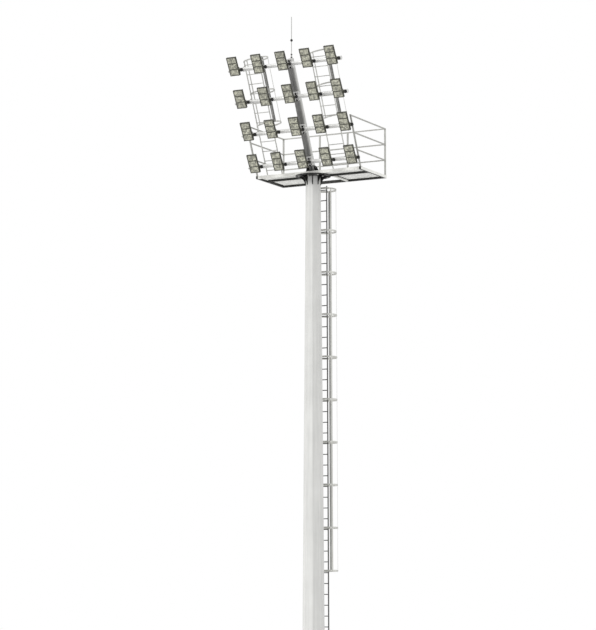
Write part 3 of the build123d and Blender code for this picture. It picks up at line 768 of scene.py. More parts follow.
def pole_half(level):
    """Distance from the pole's axis to the middle of a flat side at a level."""
    return POLE_HALF_AT_GROUND - POLE_SLOPE * level


def pole_corner(level, k):
    """A corner of the pole at a level."""
    radius = pole_half(level) / math.cos(SIDE_ANGLE / 2)
    angle = SIDE_ANGLE * (k + 0.5)
    return np.array([radius * math.cos(angle), radius * math.sin(angle), level])


def rack_height_of(row):
    """Height along the spine of an arm's axis: its lamps' pivots, less their rise."""
    pivot = PIVOTS[f"lamp_{row}_1"]
    local = np.linalg.inv(RACK) @ np.array([*pivot, 1.0])
    return local[2] - PIVOT_RISE


def lamp_frame(name):
    """The 4 x 4 array of a floodlight at rest: its pivot, leaned forward."""
    return turned(LAMP_LEAN, PIVOTS[name])


def display_colour(name, description, default):
    """A setting in the sidebar for a colour, as it looks on a display."""
    return FloatVectorProperty(name=name, description=description, subtype="COLOR", size=3, min=0, max=1,
                               default=default)


class TowerColours(PropertyGroup):
    """Colours of the finishes, as they look on a display."""

    pole: display_colour("Pole", "Paint of the pole", (0.80, 0.80, 0.79))
    # Middle grey of the spine, from which its painted shade and painted highlight are made
    spine: display_colour("Spine", "Coating of the leaning spine", (0.66, 0.66, 0.65))
    # Near-black, painted shade between the ribs
    dark_steel: display_colour("Ribs", "Steel of the flanges and ribs", (0.11, 0.11, 0.105))
    arm: display_colour("Arms", "Steel of the arms and yokes", (0.87, 0.87, 0.86))
    platform: display_colour("Platform", "Steel of the platform frame", (0.94, 0.94, 0.92))
    rail: display_colour("Rails", "Steel of the guard rails", (0.72, 0.72, 0.70))
    ladder: display_colour("Ladders", "Steel of the rack ladders, hoops and brackets", (0.84, 0.84, 0.82))
    grating: display_colour("Floor", "Steel of the floor's bars", (0.97, 0.97, 0.96))
    # Dark steel used as painted shade on the beams under the floor
    shaded: display_colour("Dark beams", "Steel of the platform's shaded beams", (0.20, 0.20, 0.19))
    pole_ladder: display_colour("Pole ladder", "Steel of the pole's ladder", (0.33, 0.33, 0.32))
    rod: display_colour("Rod", "Steel of the lightning rod", (0.74, 0.74, 0.73))
    lamp: display_colour("Floodlight body", "Coating of the floodlights", (0.24, 0.24, 0.205))
    lamp_back: display_colour("Floodlight back", "Coating behind the floodlights", (0.46, 0.46, 0.42))
    strap: display_colour("Side straps", "Steel of the cages' bright straps", (0.80, 0.80, 0.78))
    # Darker steel of the rear straps and plates, painted shade
    weathered: display_colour("Rear straps", "Steel of the cages' rear straps and plates", (0.64, 0.64, 0.63))
    dark_fasteners: display_colour("Dark nuts", "Nuts of the arms' clamp plates", (0.13, 0.13, 0.13))
    lens: display_colour("Lenses", "Lens plates of the floodlights", (0.68, 0.68, 0.62))
    knob: display_colour("Knobs", "Polymer of the knobs", (0.02, 0.02, 0.02))
    fasteners: display_colour("Fasteners", "Plating of bolts and nuts", (0.74, 0.74, 0.72))


class TowerSizes(PropertyGroup):
    """Sizes of the small fittings."""

    lens_pitch: FloatProperty(name="Lens pitch", description="Distance between lenses of a lamp window",
                              unit="LENGTH", min=0.02, max=0.08, default=0.0345)
    lens_radius: FloatProperty(name="Lens radius", description="Radius of one lens", unit="LENGTH",
                               min=0.005, max=0.03, default=0.0145)
    bolt_width: FloatProperty(name="Bolt width", description="Width of a large bolt head across its flats",
                              unit="LENGTH", min=0.01, max=0.08, default=0.036)
    small_bolt_width: FloatProperty(name="Small bolt width", description="Width of a small bolt head",
                                    unit="LENGTH", min=0.005, max=0.04, default=0.019)
    clamp_nut_width: FloatProperty(name="Clamp nut width", description="Nuts of the bands and the U bolts",
                                   unit="LENGTH", min=0.005, max=0.04, default=0.017)
    screw_width: FloatProperty(name="Screw width", description="Width of a cover screw's head", unit="LENGTH",
                               min=0.003, max=0.02, default=0.010)
    weld_width: FloatProperty(name="Weld width", description="Width of a weld bead", unit="LENGTH",
                              min=0.003, max=0.02, default=0.010)
    floor_bar_pitch: FloatProperty(name="Floor bar pitch", description="Distance between bars of the floor",
                                   unit="LENGTH", min=0.02, max=0.1, default=0.034)
    floor_rod_pitch: FloatProperty(name="Floor rod pitch", description="Distance between the floor's rods",
                                   unit="LENGTH", min=0.03, max=0.2, default=0.076)
    knob_lobes: IntProperty(name="Knob lobes", description="Finger grips round a knob", min=3, max=16,
                            default=8)


class TowerStudio(PropertyGroup):
    """Camera, lamps and floor."""

    camera_distance: FloatProperty(name="Camera distance", description="From the pole's axis to the camera",
                                   unit="LENGTH", min=5, max=200, default=70.0)
    camera_azimuth: FloatProperty(name="Camera azimuth", description="Camera's place round the tower",
                                  subtype="ANGLE", default=0.481811)
    camera_turn: FloatProperty(name="Camera turn", description="Turn of the view from the pole's axis",
                               subtype="ANGLE", default=0.00613)
    camera_tilt: FloatProperty(name="Camera tilt", description="Upward tilt of the view", subtype="ANGLE",
                               default=0.126868)
    camera_height: FloatProperty(name="Camera height", description="Height above the ground", unit="LENGTH",
                                 default=1.0856)
    lens_length: FloatProperty(name="Lens length", description="Focal length in mm, for a 36 mm frame",
                               min=10, max=500, default=143.648)
    key_strength: FloatProperty(name="Key light", description="Strength of the main lamp", min=0, default=2.1)
    fill_strength: FloatProperty(name="Fill light", description="Strength of the second lamp", min=0,
                                 default=0.7)
    sky_strength: FloatProperty(name="Sky", description="Strength of the light from all round", min=0,
                                default=0.75)
    floor_radius: FloatProperty(name="Floor radius", description="Radius of the pale floor", unit="LENGTH",
                                min=1, default=60.0)


class TOWER_OT_steelwork(Operator):
    """Finishes of the pole, its flanges and the cable cover, with their welds"""

    bl_idname = "tower.steelwork"
    bl_label = "Pole and flanges"

    def execute(self, context):
        width = context.scene.tower_sizes.weld_width
        dress(["pole_shaft", "cable_cover"], finish_named("pole paint"))
        # The flanges, ribs and spine foot get near-black steel as painted shade between the ribs
        dress(["base_flange", "head_flange", "spine_foot"], finish_named("dark steel"))
        below_head = SHAFT_TOP - 0.002
        rings = [bead_between(pole_corner(level, k - 1), pole_corner(level, k), width)
                 for k in range(POLE_SIDES) for level in (BASE_TOP, below_head)]
        add_fitting("pole_ring_welds", joined(rings), "dark weld")
        base_levels = (BASE_TOP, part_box("base_flange")[1].z)
        head_levels = (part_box("head_flange")[0].z, SHAFT_TOP)
        beside_rib = 0.0095
        ribs = [self.rib_bead(levels, SIDE_ANGLE * (k + shift), side, on_corner, width)
                for levels, shift, on_corner in ((base_levels, 0, False), (head_levels, 0.5, True))
                for k in range(POLE_SIDES) for side in (-beside_rib, beside_rib)]
        add_fitting("rib_welds", joined(ribs), "dark weld")
        seam = bead_between(pole_corner(BASE_TOP, 1), pole_corner(SHAFT_TOP, 1), 0.55 * width)
        add_fitting("pole_seam_weld", seam, "pale weld")
        return {"FINISHED"}

    def rib_bead(self, levels, angle, side, on_corner, width):
        """A bead up one side of a rib, on a flat of the pole or beside a corner, where the flats fall away."""
        proud = 0.002
        ends = []
        for level in levels:
            reach = pole_half(level)
            if on_corner:
                reach = reach / math.cos(SIDE_ANGLE / 2) - abs(side) * math.tan(SIDE_ANGLE / 2)
            ends.append([reach + proud, side, level])
        return moved(bead_between(*ends, width), about_z(angle))


class TOWER_OT_cover_screws(Operator):
    """Screws round the cable cover"""

    bl_idname = "tower.cover_screws"
    bl_label = "Cable cover screws"

    def execute(self, context):
        inset, step, front = 0.013, 0.16, -0.006
        low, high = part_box("cable_cover")
        middle = (low.z + high.z) / 2
        half_height = (high.z - low.z) / 2 - inset
        half_width = high.x - inset
        places = [(side * half_width, front, middle + rise) for side in (-1, 1) for rise in (-step, 0.0, step)]
        places += [(0, front, middle + half_height), (0, front, middle - half_height)]
        cover_face = turned(-math.atan(POLE_SLOPE), (0, -POLE_HALF_AT_GROUND, 0))
        screw = light_bolt(context.scene.tower_sizes, height=0.007)
        screws = copies(screw, cover_face @ at_points(places, FORWARD))
        add_fitting("cable_cover_screws", screws, "plated fasteners")
        return {"FINISHED"}


class TOWER_OT_floor(Operator):
    """Finishes of the platform, and the fine bars and twisted rods of its floor"""

    bl_idname = "tower.floor"
    bl_label = "Platform and floor"

    def execute(self, context):
        sizes = context.scene.tower_sizes
        beams = ["platform_side_beams", "platform_cross_beams", "platform_trimmers", "grating_ledgers"]
        dress(beams, finish_named("platform steel"))
        self.paint_shade_on_beams()
        dress(["floor_gratings"], finish_named("grating steel"))
        add_fitting("floor_bars", joined(self.bars(sizes)), "grating steel")
        add_fitting("floor_rods", joined(self.rods(sizes)), "grating steel")
        self.frame_bolts(sizes)
        return {"FINISHED"}

    def paint_shade_on_beams(self):
        """Painted shade: a darker steel on the beams behind the front one and on the left side, on all but the
        outer face of the right side beam, and on the ledgers behind the front panels."""
        shaded = finish_named("shaded steel")
        # Faces in under the floor take the darker steel as painted shade; outer faces keep the pale platform
        # steel
        dress_faces("platform_cross_beams", shaded, face_middles("platform_cross_beams")[:, 1] > 0)
        behind_front_panels, skin = 0.15, 0.001
        dress_faces("grating_ledgers", shaded, face_middles("grating_ledgers")[:, 1] > behind_front_panels)
        outer_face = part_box("platform_side_beams")[1].x - skin
        dress_faces("platform_side_beams", shaded, face_middles("platform_side_beams")[:, 0] < outer_face)

    def bays(self):
        """The four panels as x from, x to, y from, y to, from the corners of the gratings' solid."""
        between_panels = 0.29
        points = corners_of("floor_gratings")
        found = []
        for front in (True, False):
            row = points[(points[:, 1] < between_panels) == front]
            for side in (-1, 1):
                panel = row[row[:, 0] * side > 0]
                found.append((panel[:, 0].min(), panel[:, 0].max(), panel[:, 1].min(), panel[:, 1].max()))
        return found

    def bars(self, sizes):
        """Two flat bars in each slot of the solid's panels, so that all the bars stand at the real pitch."""
        band, solid_bar, bars_per_slot = 0.012, 0.005, 3
        thickness, height, end_gap, below_floor = 0.003, 0.028, 0.010, 0.0155
        made = []
        for x_from, x_to, y_from, y_to in self.bays():
            width = x_to - x_from - 2 * band + solid_bar
            count = int(round(width / (bars_per_slot * sizes.floor_bar_pitch)))
            steps = np.arange(count * bars_per_slot) / bars_per_slot
            xs = x_from + band - solid_bar / 2 + width / count * steps[steps % 1 > 0]
            ends = [(0, y_from + end_gap, 0), (0, y_to - end_gap, 0)]
            bar = flat_bar(*ends, thickness, height, UP, edge=0.0004)
            places = np.stack([xs, np.zeros_like(xs), np.full_like(xs, FLOOR_LEVEL - below_floor)], axis=-1)
            made.append(copies(bar, at_points(places)))
        return made

    def rods(self, sizes):
        """Square rods across the bars, twisted a quarter turn between one bar and the next: the outline's
        corner is at 2 pi x / (4 pitch) + k pi / 2."""
        half_diagonal, end_gap, side_gap, below_floor = 0.0042, 0.008, 0.015, 0.0045
        pitch = sizes.floor_bar_pitch
        made = []
        for x_from, x_to, y_from, y_to in self.bays():
            steps = int((x_to - x_from) / pitch * 2)
            x = np.linspace(x_from + end_gap, x_to - end_gap, steps)
            twist = (x - x_from) / pitch * math.pi / 2
            angle = twist[:, None] + np.arange(4) * math.pi / 2
            rod = ringed(np.stack([np.broadcast_to(x[:, None], angle.shape), half_diagonal * np.cos(angle),
                                   half_diagonal * np.sin(angle)], axis=-1))
            depth = y_to - y_from - 2 * side_gap
            count = int(round(depth / sizes.floor_rod_pitch))
            ys = y_from + side_gap + depth * (np.arange(count) + 0.5) / count
            places = np.stack([np.zeros_like(ys), ys, np.full_like(ys, FLOOR_LEVEL - below_floor)], axis=-1)
            made.append(copies(rod, at_points(places)))
        return made

    def frame_bolts(self, sizes):
        """Bolts up through the head flange into the beams round the hub."""
        trimmer, cross_beam = 0.300, 0.290
        places = [(x * trimmer, y * cross_beam, SHAFT_TOP) for x in (-1, 0, 1) for y in (-1, 0, 1) if x or y]
        under = copies(hex_bolt(sizes.bolt_width, height=0.022), at_points(places, DOWN))
        add_fitting("head_flange_bolts", under, "plated fasteners")


class TOWER_OT_rails(Operator):
    """Finishes of the guard rails, with foot plates, bolts and caps on their posts"""

    bl_idname = "tower.rails"
    bl_label = "Guard rails"

    def execute(self, context):
        dress(["guard_rail_back", "guard_rail_left", "guard_rail_right"], finish_named("rail steel"))
        low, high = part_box("guard_rail_back")
        half_post, front, beside_hatch = 0.020, -0.290, 0.450
        corner = high.x - half_post
        back = (low.y + high.y) / 2
        corners = np.array([(x, back, FLOOR_LEVEL) for x in (-corner, corner)])
        hatch_posts = np.array([(x, back, FLOOR_LEVEL) for x in (-beside_hatch, beside_hatch)])
        front_posts = np.array([(x, front, FLOOR_LEVEL) for x in (-corner, corner)])

        narrow, long, behind_post = 0.029, 0.055, 0.026
        plates = [
            copies(foot_plate(narrow, narrow), at_points(corners)),
            copies(foot_plate(long, narrow), at_points(hatch_posts)),
            copies(foot_plate(narrow, long), at_points(front_posts + [0, behind_post, 0])),
        ]
        add_fitting("post_foot_plates", joined(plates), "rail steel")

        beside_post, bolt_back, bolt_apart = 0.040, 0.066, 0.013
        spots = [hatch_posts + [dx, 0, 0] for dx in (-beside_post, beside_post)]
        spots += [front_posts + [dx, bolt_back, 0] for dx in (-bolt_apart, bolt_apart)]
        places = at_points(np.concatenate(spots) + [0, 0, FOOT_PLATE_THICKNESS])
        bolts = copies(light_bolt(context.scene.tower_sizes, height=0.009), places)
        add_fitting("post_foot_bolts", bolts, "plated fasteners")

        half_cap, sunk = 0.021, 0.003
        rise = high.z - FLOOR_LEVEL
        lean = np.array([0, -rise * math.tan(RACK_LEAN), 0])
        tops = np.concatenate([corners, hatch_posts, front_posts + lean]) + [0, 0, rise - sunk]
        cap = rounded_plate(half_cap, half_cap, corner=0.005, thickness=0.004, edge=0.0015)
        add_fitting("post_caps", copies(cap, at_points(tops)), "rail steel")
        return {"FINISHED"}


class TOWER_OT_spine(Operator):
    """Finishes of the spine and its saddles, with clamp plates over the arms and bands round the spine"""

    bl_idname = "tower.spine"
    bl_label = "Spine and saddles"

    def execute(self, context):
        sizes = context.scene.tower_sizes
        dress(["spine"], finish_named("spine paint"))
        dress(["arm_saddles"], finish_named("arm steel"))
        places = RACK @ at_points([(0, 0, rack_height_of(row)) for row in ROWS])
        for name, surface, finish in (
            ("arm_clamp_plates", self.clamp_plates(), "arm steel"),
            ("arm_clamp_nuts", self.clamp_studs(sizes), "dark fasteners"),
            ("spine_bands", self.bands(), "arm steel"),
            ("spine_band_nuts", self.band_nuts(sizes), "plated fasteners"),
        ):
            add_fitting(name, copies(surface, places), finish)
        self.cap_bolts(sizes)
        return {"FINISHED"}

    def clamp_plates(self):
        """Two upright plates in front of the arm, one at either end of the saddle."""
        half_width = 0.030
        plate = rounded_plate(half_width, SADDLE_HALF_HEIGHT, corner=0.006, thickness=CLAMP_THICKNESS,
                              edge=0.0015)
        return copies(plate, at_points([(x, -CLAMP_FRONT, 0) for x in (-CLAMP_REACH, CLAMP_REACH)], FORWARD))

    def clamp_studs(self, sizes):
        """Studs from the saddle past the arm, above and below it, with nuts on the plates."""
        radius, length, end, from_arm = 0.009, 0.090, 0.001, 0.094
        stud = lathed([(0.0, -length), (radius, -length), (radius, end), (0.0, end)], sides=12)
        fixing = joined([stud, stud_nut(sizes.bolt_width, height=0.016)])
        places = [(x, -CLAMP_FRONT - CLAMP_THICKNESS, z)
                  for x in (-CLAMP_REACH, CLAMP_REACH) for z in (-from_arm, from_arm)]
        return copies(fixing, at_points(places, FORWARD))

    def bands(self):
        """Flat bands round the back of the spine: a point at angle t is (r cos t, r sin t), past half a turn
        at both ends, with a lug against the saddle's back at each end."""
        past_half_turn, steps, clearance = 0.20 * math.pi, 43, 0.002
        t = np.linspace(-past_half_turn, math.pi + past_half_turn, steps)
        radius = SPINE_RADIUS + clearance
        path = np.stack([radius * np.cos(t), radius * np.sin(t), np.zeros_like(t)], axis=-1)
        band = carried(flat_outline(width=0.005, height=0.040, edge=0.001), path, UP)
        half_lug, lug_reach = 0.020, 0.122
        lug = rounded_plate(half_lug, half_lug, corner=0.004, thickness=BAND_LUG_THICKNESS, edge=0.001)
        lugs = copies(lug, at_points([(x, -SADDLE_BACK, 0) for x in (-lug_reach, lug_reach)], REARWARD))
        return copies(joined([band, lugs]), at_points([(0, 0, z) for z in (-BAND_RISE, BAND_RISE)]))

    def band_nuts(self, sizes):
        """A nut on each lug of the bands."""
        nut_reach, lug_face = 0.126, BAND_LUG_THICKNESS - SADDLE_BACK
        places = [(x, lug_face, z) for x in (-nut_reach, nut_reach) for z in (-BAND_RISE, BAND_RISE)]
        return copies(stud_nut(sizes.small_bolt_width, height=0.010), at_points(places, REARWARD))

    def cap_bolts(self, sizes):
        """Bolts in the spine's cap, on the side away from the lightning rod."""
        count, first, step, radius = 5, 165, 52.5, 0.082
        top = reach_along(RACK, "spine")[1]
        angles = np.radians(first + step * np.arange(count))
        places = np.stack([radius * np.cos(angles), radius * np.sin(angles), np.full(count, top)], axis=-1)
        bolts = copies(light_bolt(sizes, height=0.009), RACK @ at_points(places))
        add_fitting("spine_cap_bolts", bolts, "plated fasteners")


class TOWER_OT_arms(Operator):
    """Finishes of the arms and yokes, with clamp bands, bolts and end caps"""

    bl_idname = "tower.arms"
    bl_label = "Arms and yokes"

    def execute(self, context):
        dress([f"{node}_{row}" for node in ("arm", "yokes") for row in ROWS], finish_named("arm steel"))
        bands, nuts = self.clamps(context.scene.tower_sizes)
        for row in ROWS:
            height = rack_height_of(row)
            lamps = [(PIVOTS[f"lamp_{row}_{column}"][0], -ARM_FORWARD, height) for column in COLUMNS]
            places = RACK @ at_points(lamps)
            add_fitting(f"arm_bands_{row}", copies(bands, places), "arm steel")
            add_fitting(f"arm_band_nuts_{row}", copies(nuts, places), "plated fasteners")
        self.end_caps()
        return {"FINISHED"}

    def clamps(self, sizes):
        """The two split bands that hold a yoke to its arm, with a lug at each end, and the nuts on their lugs.
        A band's point at angle t is (0, r cos t, r sin t)."""
        half_wrap, steps, clearance = 0.62 * math.pi, 25, 0.002
        beside_yoke, half_lug, lug_back, lug_foot, lug_top = 0.028, 0.012, -0.022, 0.053, 0.073
        t = np.linspace(-half_wrap, half_wrap, steps)
        radius = ARM_RADIUS + clearance
        path = np.stack([np.zeros_like(t), radius * np.cos(t), radius * np.sin(t)], axis=-1)
        band = carried(flat_outline(width=0.004, height=0.024, edge=0.001), path, RIGHT)
        lug = rounded_plate(half_lug, half_lug, corner=0.003, thickness=lug_top - lug_foot, edge=0.002)
        nut = stud_nut(sizes.clamp_nut_width, height=0.010)
        lugs, nuts = (copies(part, [standing((0, lug_back, side * foot), (0, 0, side)) for side in (-1, 1)])
                      for part, foot in ((lug, lug_foot), (nut, lug_top)))
        pair = at_points([(x, 0, 0) for x in (-beside_yoke, beside_yoke)])
        return copies(joined([band, lugs]), pair), copies(nuts, pair)

    def end_caps(self):
        """Dished caps with a rolled rim over both ends of each arm."""
        cap = lathed([(0.0, 0.009), (0.030, 0.008), (0.050, 0.004), (0.0575, 0.001), (0.0585, -0.006),
                      (0.0575, -0.020)], sides=28)
        places = []
        for row in ROWS:
            low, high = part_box(f"arm_{row}")
            height = rack_height_of(row)
            places.append(RACK @ standing((low.x, -ARM_FORWARD, height), LEFT))
            places.append(RACK @ standing((high.x, -ARM_FORWARD, height), RIGHT))
        add_fitting("arm_end_caps", copies(cap, places), "arm steel")


class TOWER_OT_lamps(Operator):
    """Floodlights: their castings, lens plates, bezels, cooling fins and knobs"""

    bl_idname = "tower.lamps"
    bl_label = "Floodlights"

    def execute(self, context):
        sizes = context.scene.tower_sizes
        lens, lens_uv = self.lens_plates(sizes)
        parts = (
            ("bezel", self.bezel(), "lamp casting"),
            ("knob", self.knob(sizes, 1), "knob polymer"),
            ("pivot_grip", self.knob(sizes, -1), "arm steel"),
            ("cooling_fins", self.fins(), "lamp back casting"),
            ("lamp_screws", self.screws(sizes), "plated fasteners"),
        )
        cells_per_metre = (7.3, 5.1)
        for name in LAMPS:
            place = lamp_frame(name)
            tag = name.removeprefix("lamp_")
            self.dress_lamp(name, f"floodlight_{tag}")
            uv = lens_uv + np.round(PIVOTS[name][[0, 2]] * cells_per_metre)
            add_fitting(f"lens_plates_{tag}", moved(lens, place), "lamp lens", name,
                        crease=40.0, uv=uv)
            for part, surface, finish in parts:
                add_fitting(f"{part}_{tag}", moved(surface, place), finish, name)
        return {"FINISHED"}

    def dress_lamp(self, name, node):
        """Dark casting in front, a lighter one behind, the knob's polymer on the pivot's right end and pale
        steel on its left."""
        dress([node], finish_named("lamp casting"))
        local = (face_middles(node) - PIVOTS[name]) @ lamp_frame(name)[:3, :3]
        before_knob, skin = 0.004, 0.001
        start = KNOB_START - before_knob
        dress_faces(node, finish_named("lamp back casting"), local[:, 1] > LAMP_BACK + skin)
        dress_faces(node, finish_named("knob polymer"), local[:, 0] > start)
        dress_faces(node, finish_named("arm steel"), local[:, 0] < -start)

    def lens_plates(self, sizes):
        """A plate in each window with a grid of domes: a dome's height is h (1 - (r / R)^2)^0.5. The UV map
        counts lenses, and each window's count starts further up."""
        seam, plate_thickness, dome_foot, rise, cells_between_windows = 0.0006, 0.002, 0.0018, 0.0038, 16
        half_width = LAMP_HALF - WINDOW_BORDER - seam
        half_height = WINDOW_HALF - seam
        plate = rounded_plate(half_width, half_height, corner=0.002, thickness=plate_thickness, edge=0.0005)
        columns = int(2 * half_width / sizes.lens_pitch)
        rows = int(2 * half_height / sizes.lens_pitch)
        u = (np.arange(columns) - (columns - 1) / 2) * sizes.lens_pitch
        v = (np.arange(rows) - (rows - 1) / 2) * sizes.lens_pitch
        grid = np.stack(np.meshgrid(u, v, indexing="ij"), axis=-1).reshape(-1, 2)
        spots = np.column_stack([grid, np.full(len(grid), dome_foot)])
        shares = (1.0, 0.86, 0.5, 0.0)
        dome = lathed([(sizes.lens_radius * r, rise * math.sqrt(1 - r * r)) for r in shares], sides=12)
        window = joined([plate, copies(dome, at_points(spots))])
        level = LAMP_FRONT + WINDOW_DEPTH
        surface = copies(window, at_points([(0, level, middle) for middle in WINDOW_MIDDLES], FORWARD))
        first_cell = window.points[:, :2] / sizes.lens_pitch + [(columns - 1) / 2, (rows - 1) / 2]
        uv = np.concatenate([first_cell + [0, cells_between_windows * k] for k in range(WINDOW_COUNT)])
        return surface, uv

    def bezel(self):
        """A rolled rim round the front, a little inside the casting's edge, and a bar on each divider."""
        proud, bar_width, bar_height = 0.004, 0.007, 0.016
        reach = LAMP_HALF - BEZEL_INSET
        half_height = (LAMP_TOP - LAMP_BOTTOM) / 2
        middle = (LAMP_TOP + LAMP_BOTTOM) / 2
        outline = rounded_rectangle(reach, half_height - BEZEL_INSET, corner=0.006, per_corner=4)
        across, up = outline.T
        path = np.column_stack([across, np.full(len(outline), LAMP_FRONT + proud), up + middle])
        rim = carried(flat_outline(width=0.012, height=0.012, edge=0.0035), path, REARWARD, closed=True)
        bars = [flat_bar((-reach, LAMP_FRONT, z), (reach, LAMP_FRONT, z), bar_width, bar_height, UP,
                         edge=0.002)
                for z in DIVIDERS]
        return joined([rim, *bars])

    def knob(self, sizes, side):
        """A lobed hand knob on one end of the pivot, stepped down to a raised crown."""
        profile = [(0.0, -0.0005), (0.0470, -0.0005), (0.0478, 0.003), (0.0484, 0.010), (0.0484, 0.026),
                   (0.0478, 0.032), (0.0472, 0.0345), (0.0440, 0.0370), (0.0400, 0.0385), (0.0385, 0.0425),
                   (0.0380, 0.0445), (0.0360, 0.0455), (0.0, 0.0455)]
        grip = lathed(profile, sides=64, lobes=sizes.knob_lobes, depth=-0.012)
        return moved(grip, standing((side * KNOB_START, 0, 0), (side, 0, 0)))

    def fins(self):
        """Two thin cooling fins between each pair of the solid's, the driver box's lid and its cable gland."""
        thickness, depth, below_top, above_driver, from_casting = 0.0024, 0.021, 0.004, 0.002, 0.010
        pitch = (2 * DRIVER_HALF - COOLING_FIN_THICKNESS) / (COOLING_FINS - 1)
        first = -DRIVER_HALF + COOLING_FIN_THICKNESS / 2
        xs = [first + (k + share) * pitch for k in range(COOLING_FINS - 1) for share in (1 / 3, 2 / 3)]
        ends = [(0, 0, DRIVER_TOP + above_driver), (0, 0, LAMP_TOP - below_top)]
        fin = flat_bar(*ends, thickness, depth, REARWARD, edge=0.0006)
        fins = copies(fin, at_points([(x, LAMP_BACK + from_casting, 0) for x in xs]))
        lid_gap, gland_x = 0.004, 0.06
        half_height = (DRIVER_TOP - LAMP_BOTTOM) / 2 - lid_gap
        middle = (DRIVER_TOP + LAMP_BOTTOM) / 2
        lid = rounded_plate(DRIVER_HALF - lid_gap, half_height, corner=0.010, thickness=0.005, edge=0.0025)
        lid = moved(lid, standing((0, DRIVER_BACK, middle), REARWARD))
        gland = lathed([(0.0, 0), (0.017, 0), (0.017, 0.006), (0.014, 0.007), (0.014, 0.018), (0.009, 0.026),
                        (0.0, 0.026)], sides=12)
        gland = moved(gland, standing((gland_x, (LAMP_BACK + DRIVER_BACK) / 2, LAMP_BOTTOM), DOWN))
        return joined([fins, lid, gland])

    def screws(self, sizes):
        """Screws in the bezel's sides and dividers and round the driver's lid."""
        from_end, bezel_face, lid_face, lid_inset, lid_reach = 0.030, -0.002, 0.005, 0.014, 0.118
        screw = hex_bolt(sizes.screw_width, height=0.004, washer=False)
        front = [(side * (LAMP_HALF - BEZEL_INSET), LAMP_FRONT + bezel_face, z) for side in (-1, 1)
                 for z in (LAMP_BOTTOM + from_end, *DIVIDERS, LAMP_TOP - from_end)]
        rear = [(x, DRIVER_BACK + lid_face, z) for x in (-lid_reach, 0.0, lid_reach)
                for z in (LAMP_BOTTOM + lid_inset, DRIVER_TOP - lid_inset)]
        return joined([copies(screw, at_points(front, FORWARD)), copies(screw, at_points(rear, REARWARD))])


def dress_straps(node, middles, hoop_radius):
    """Bright straps beside the climber and, as painted shade, a darker steel on the one behind."""
    dress([node], finish_named("strap steel"))
    across = face_middles(node)[:, 0]
    nearest = np.min([np.abs(across - x) for x in middles], axis=0)
    # The strap behind the climber gets the darker steel as painted shade
    dress_faces(node, finish_named("weathered steel"), nearest < hoop_radius / 3)


def rear_plates(node, frame, middles, hoop_middle_back, hoop_radius):
    """A rolled plate outside the hoops behind the climber, as wide as a hand: its section follows the hoops'
    circle, a point at angle t at (r cos t, r sin t), along its outer face and back along its inner one."""
    across, rings_along, clearance = 13, 40, 0.0003
    half_turn = REAR_PLATE_HALF / hoop_radius
    t = math.pi / 2 + np.linspace(-half_turn, half_turn, across)
    ring = np.concatenate([
        (hoop_radius + REAR_PLATE_THICKNESS) * np.column_stack([np.cos(t), np.sin(t)]),
        (hoop_radius + clearance) * np.column_stack([np.cos(t[::-1]), np.sin(t[::-1])]),
    ])
    levels = np.linspace(*reach_along(frame, node), rings_along)
    points = np.column_stack([np.tile(ring, (rings_along, 1)), np.repeat(levels, len(ring))])
    outer = np.arange(across)
    inner = 2 * across - 1 - outer
    foot = np.stack([inner[:-1], inner[1:], outer[1:], outer[:-1]], axis=-1)
    top = foot[:, ::-1] + (rings_along - 1) * len(ring)
    plate = Surface(points, NO_TRIANGLES, np.concatenate([ring_quads(rings_along, len(ring)), foot, top]))
    return copies(plate, frame @ at_points([(x, hoop_middle_back, 0) for x in middles]))


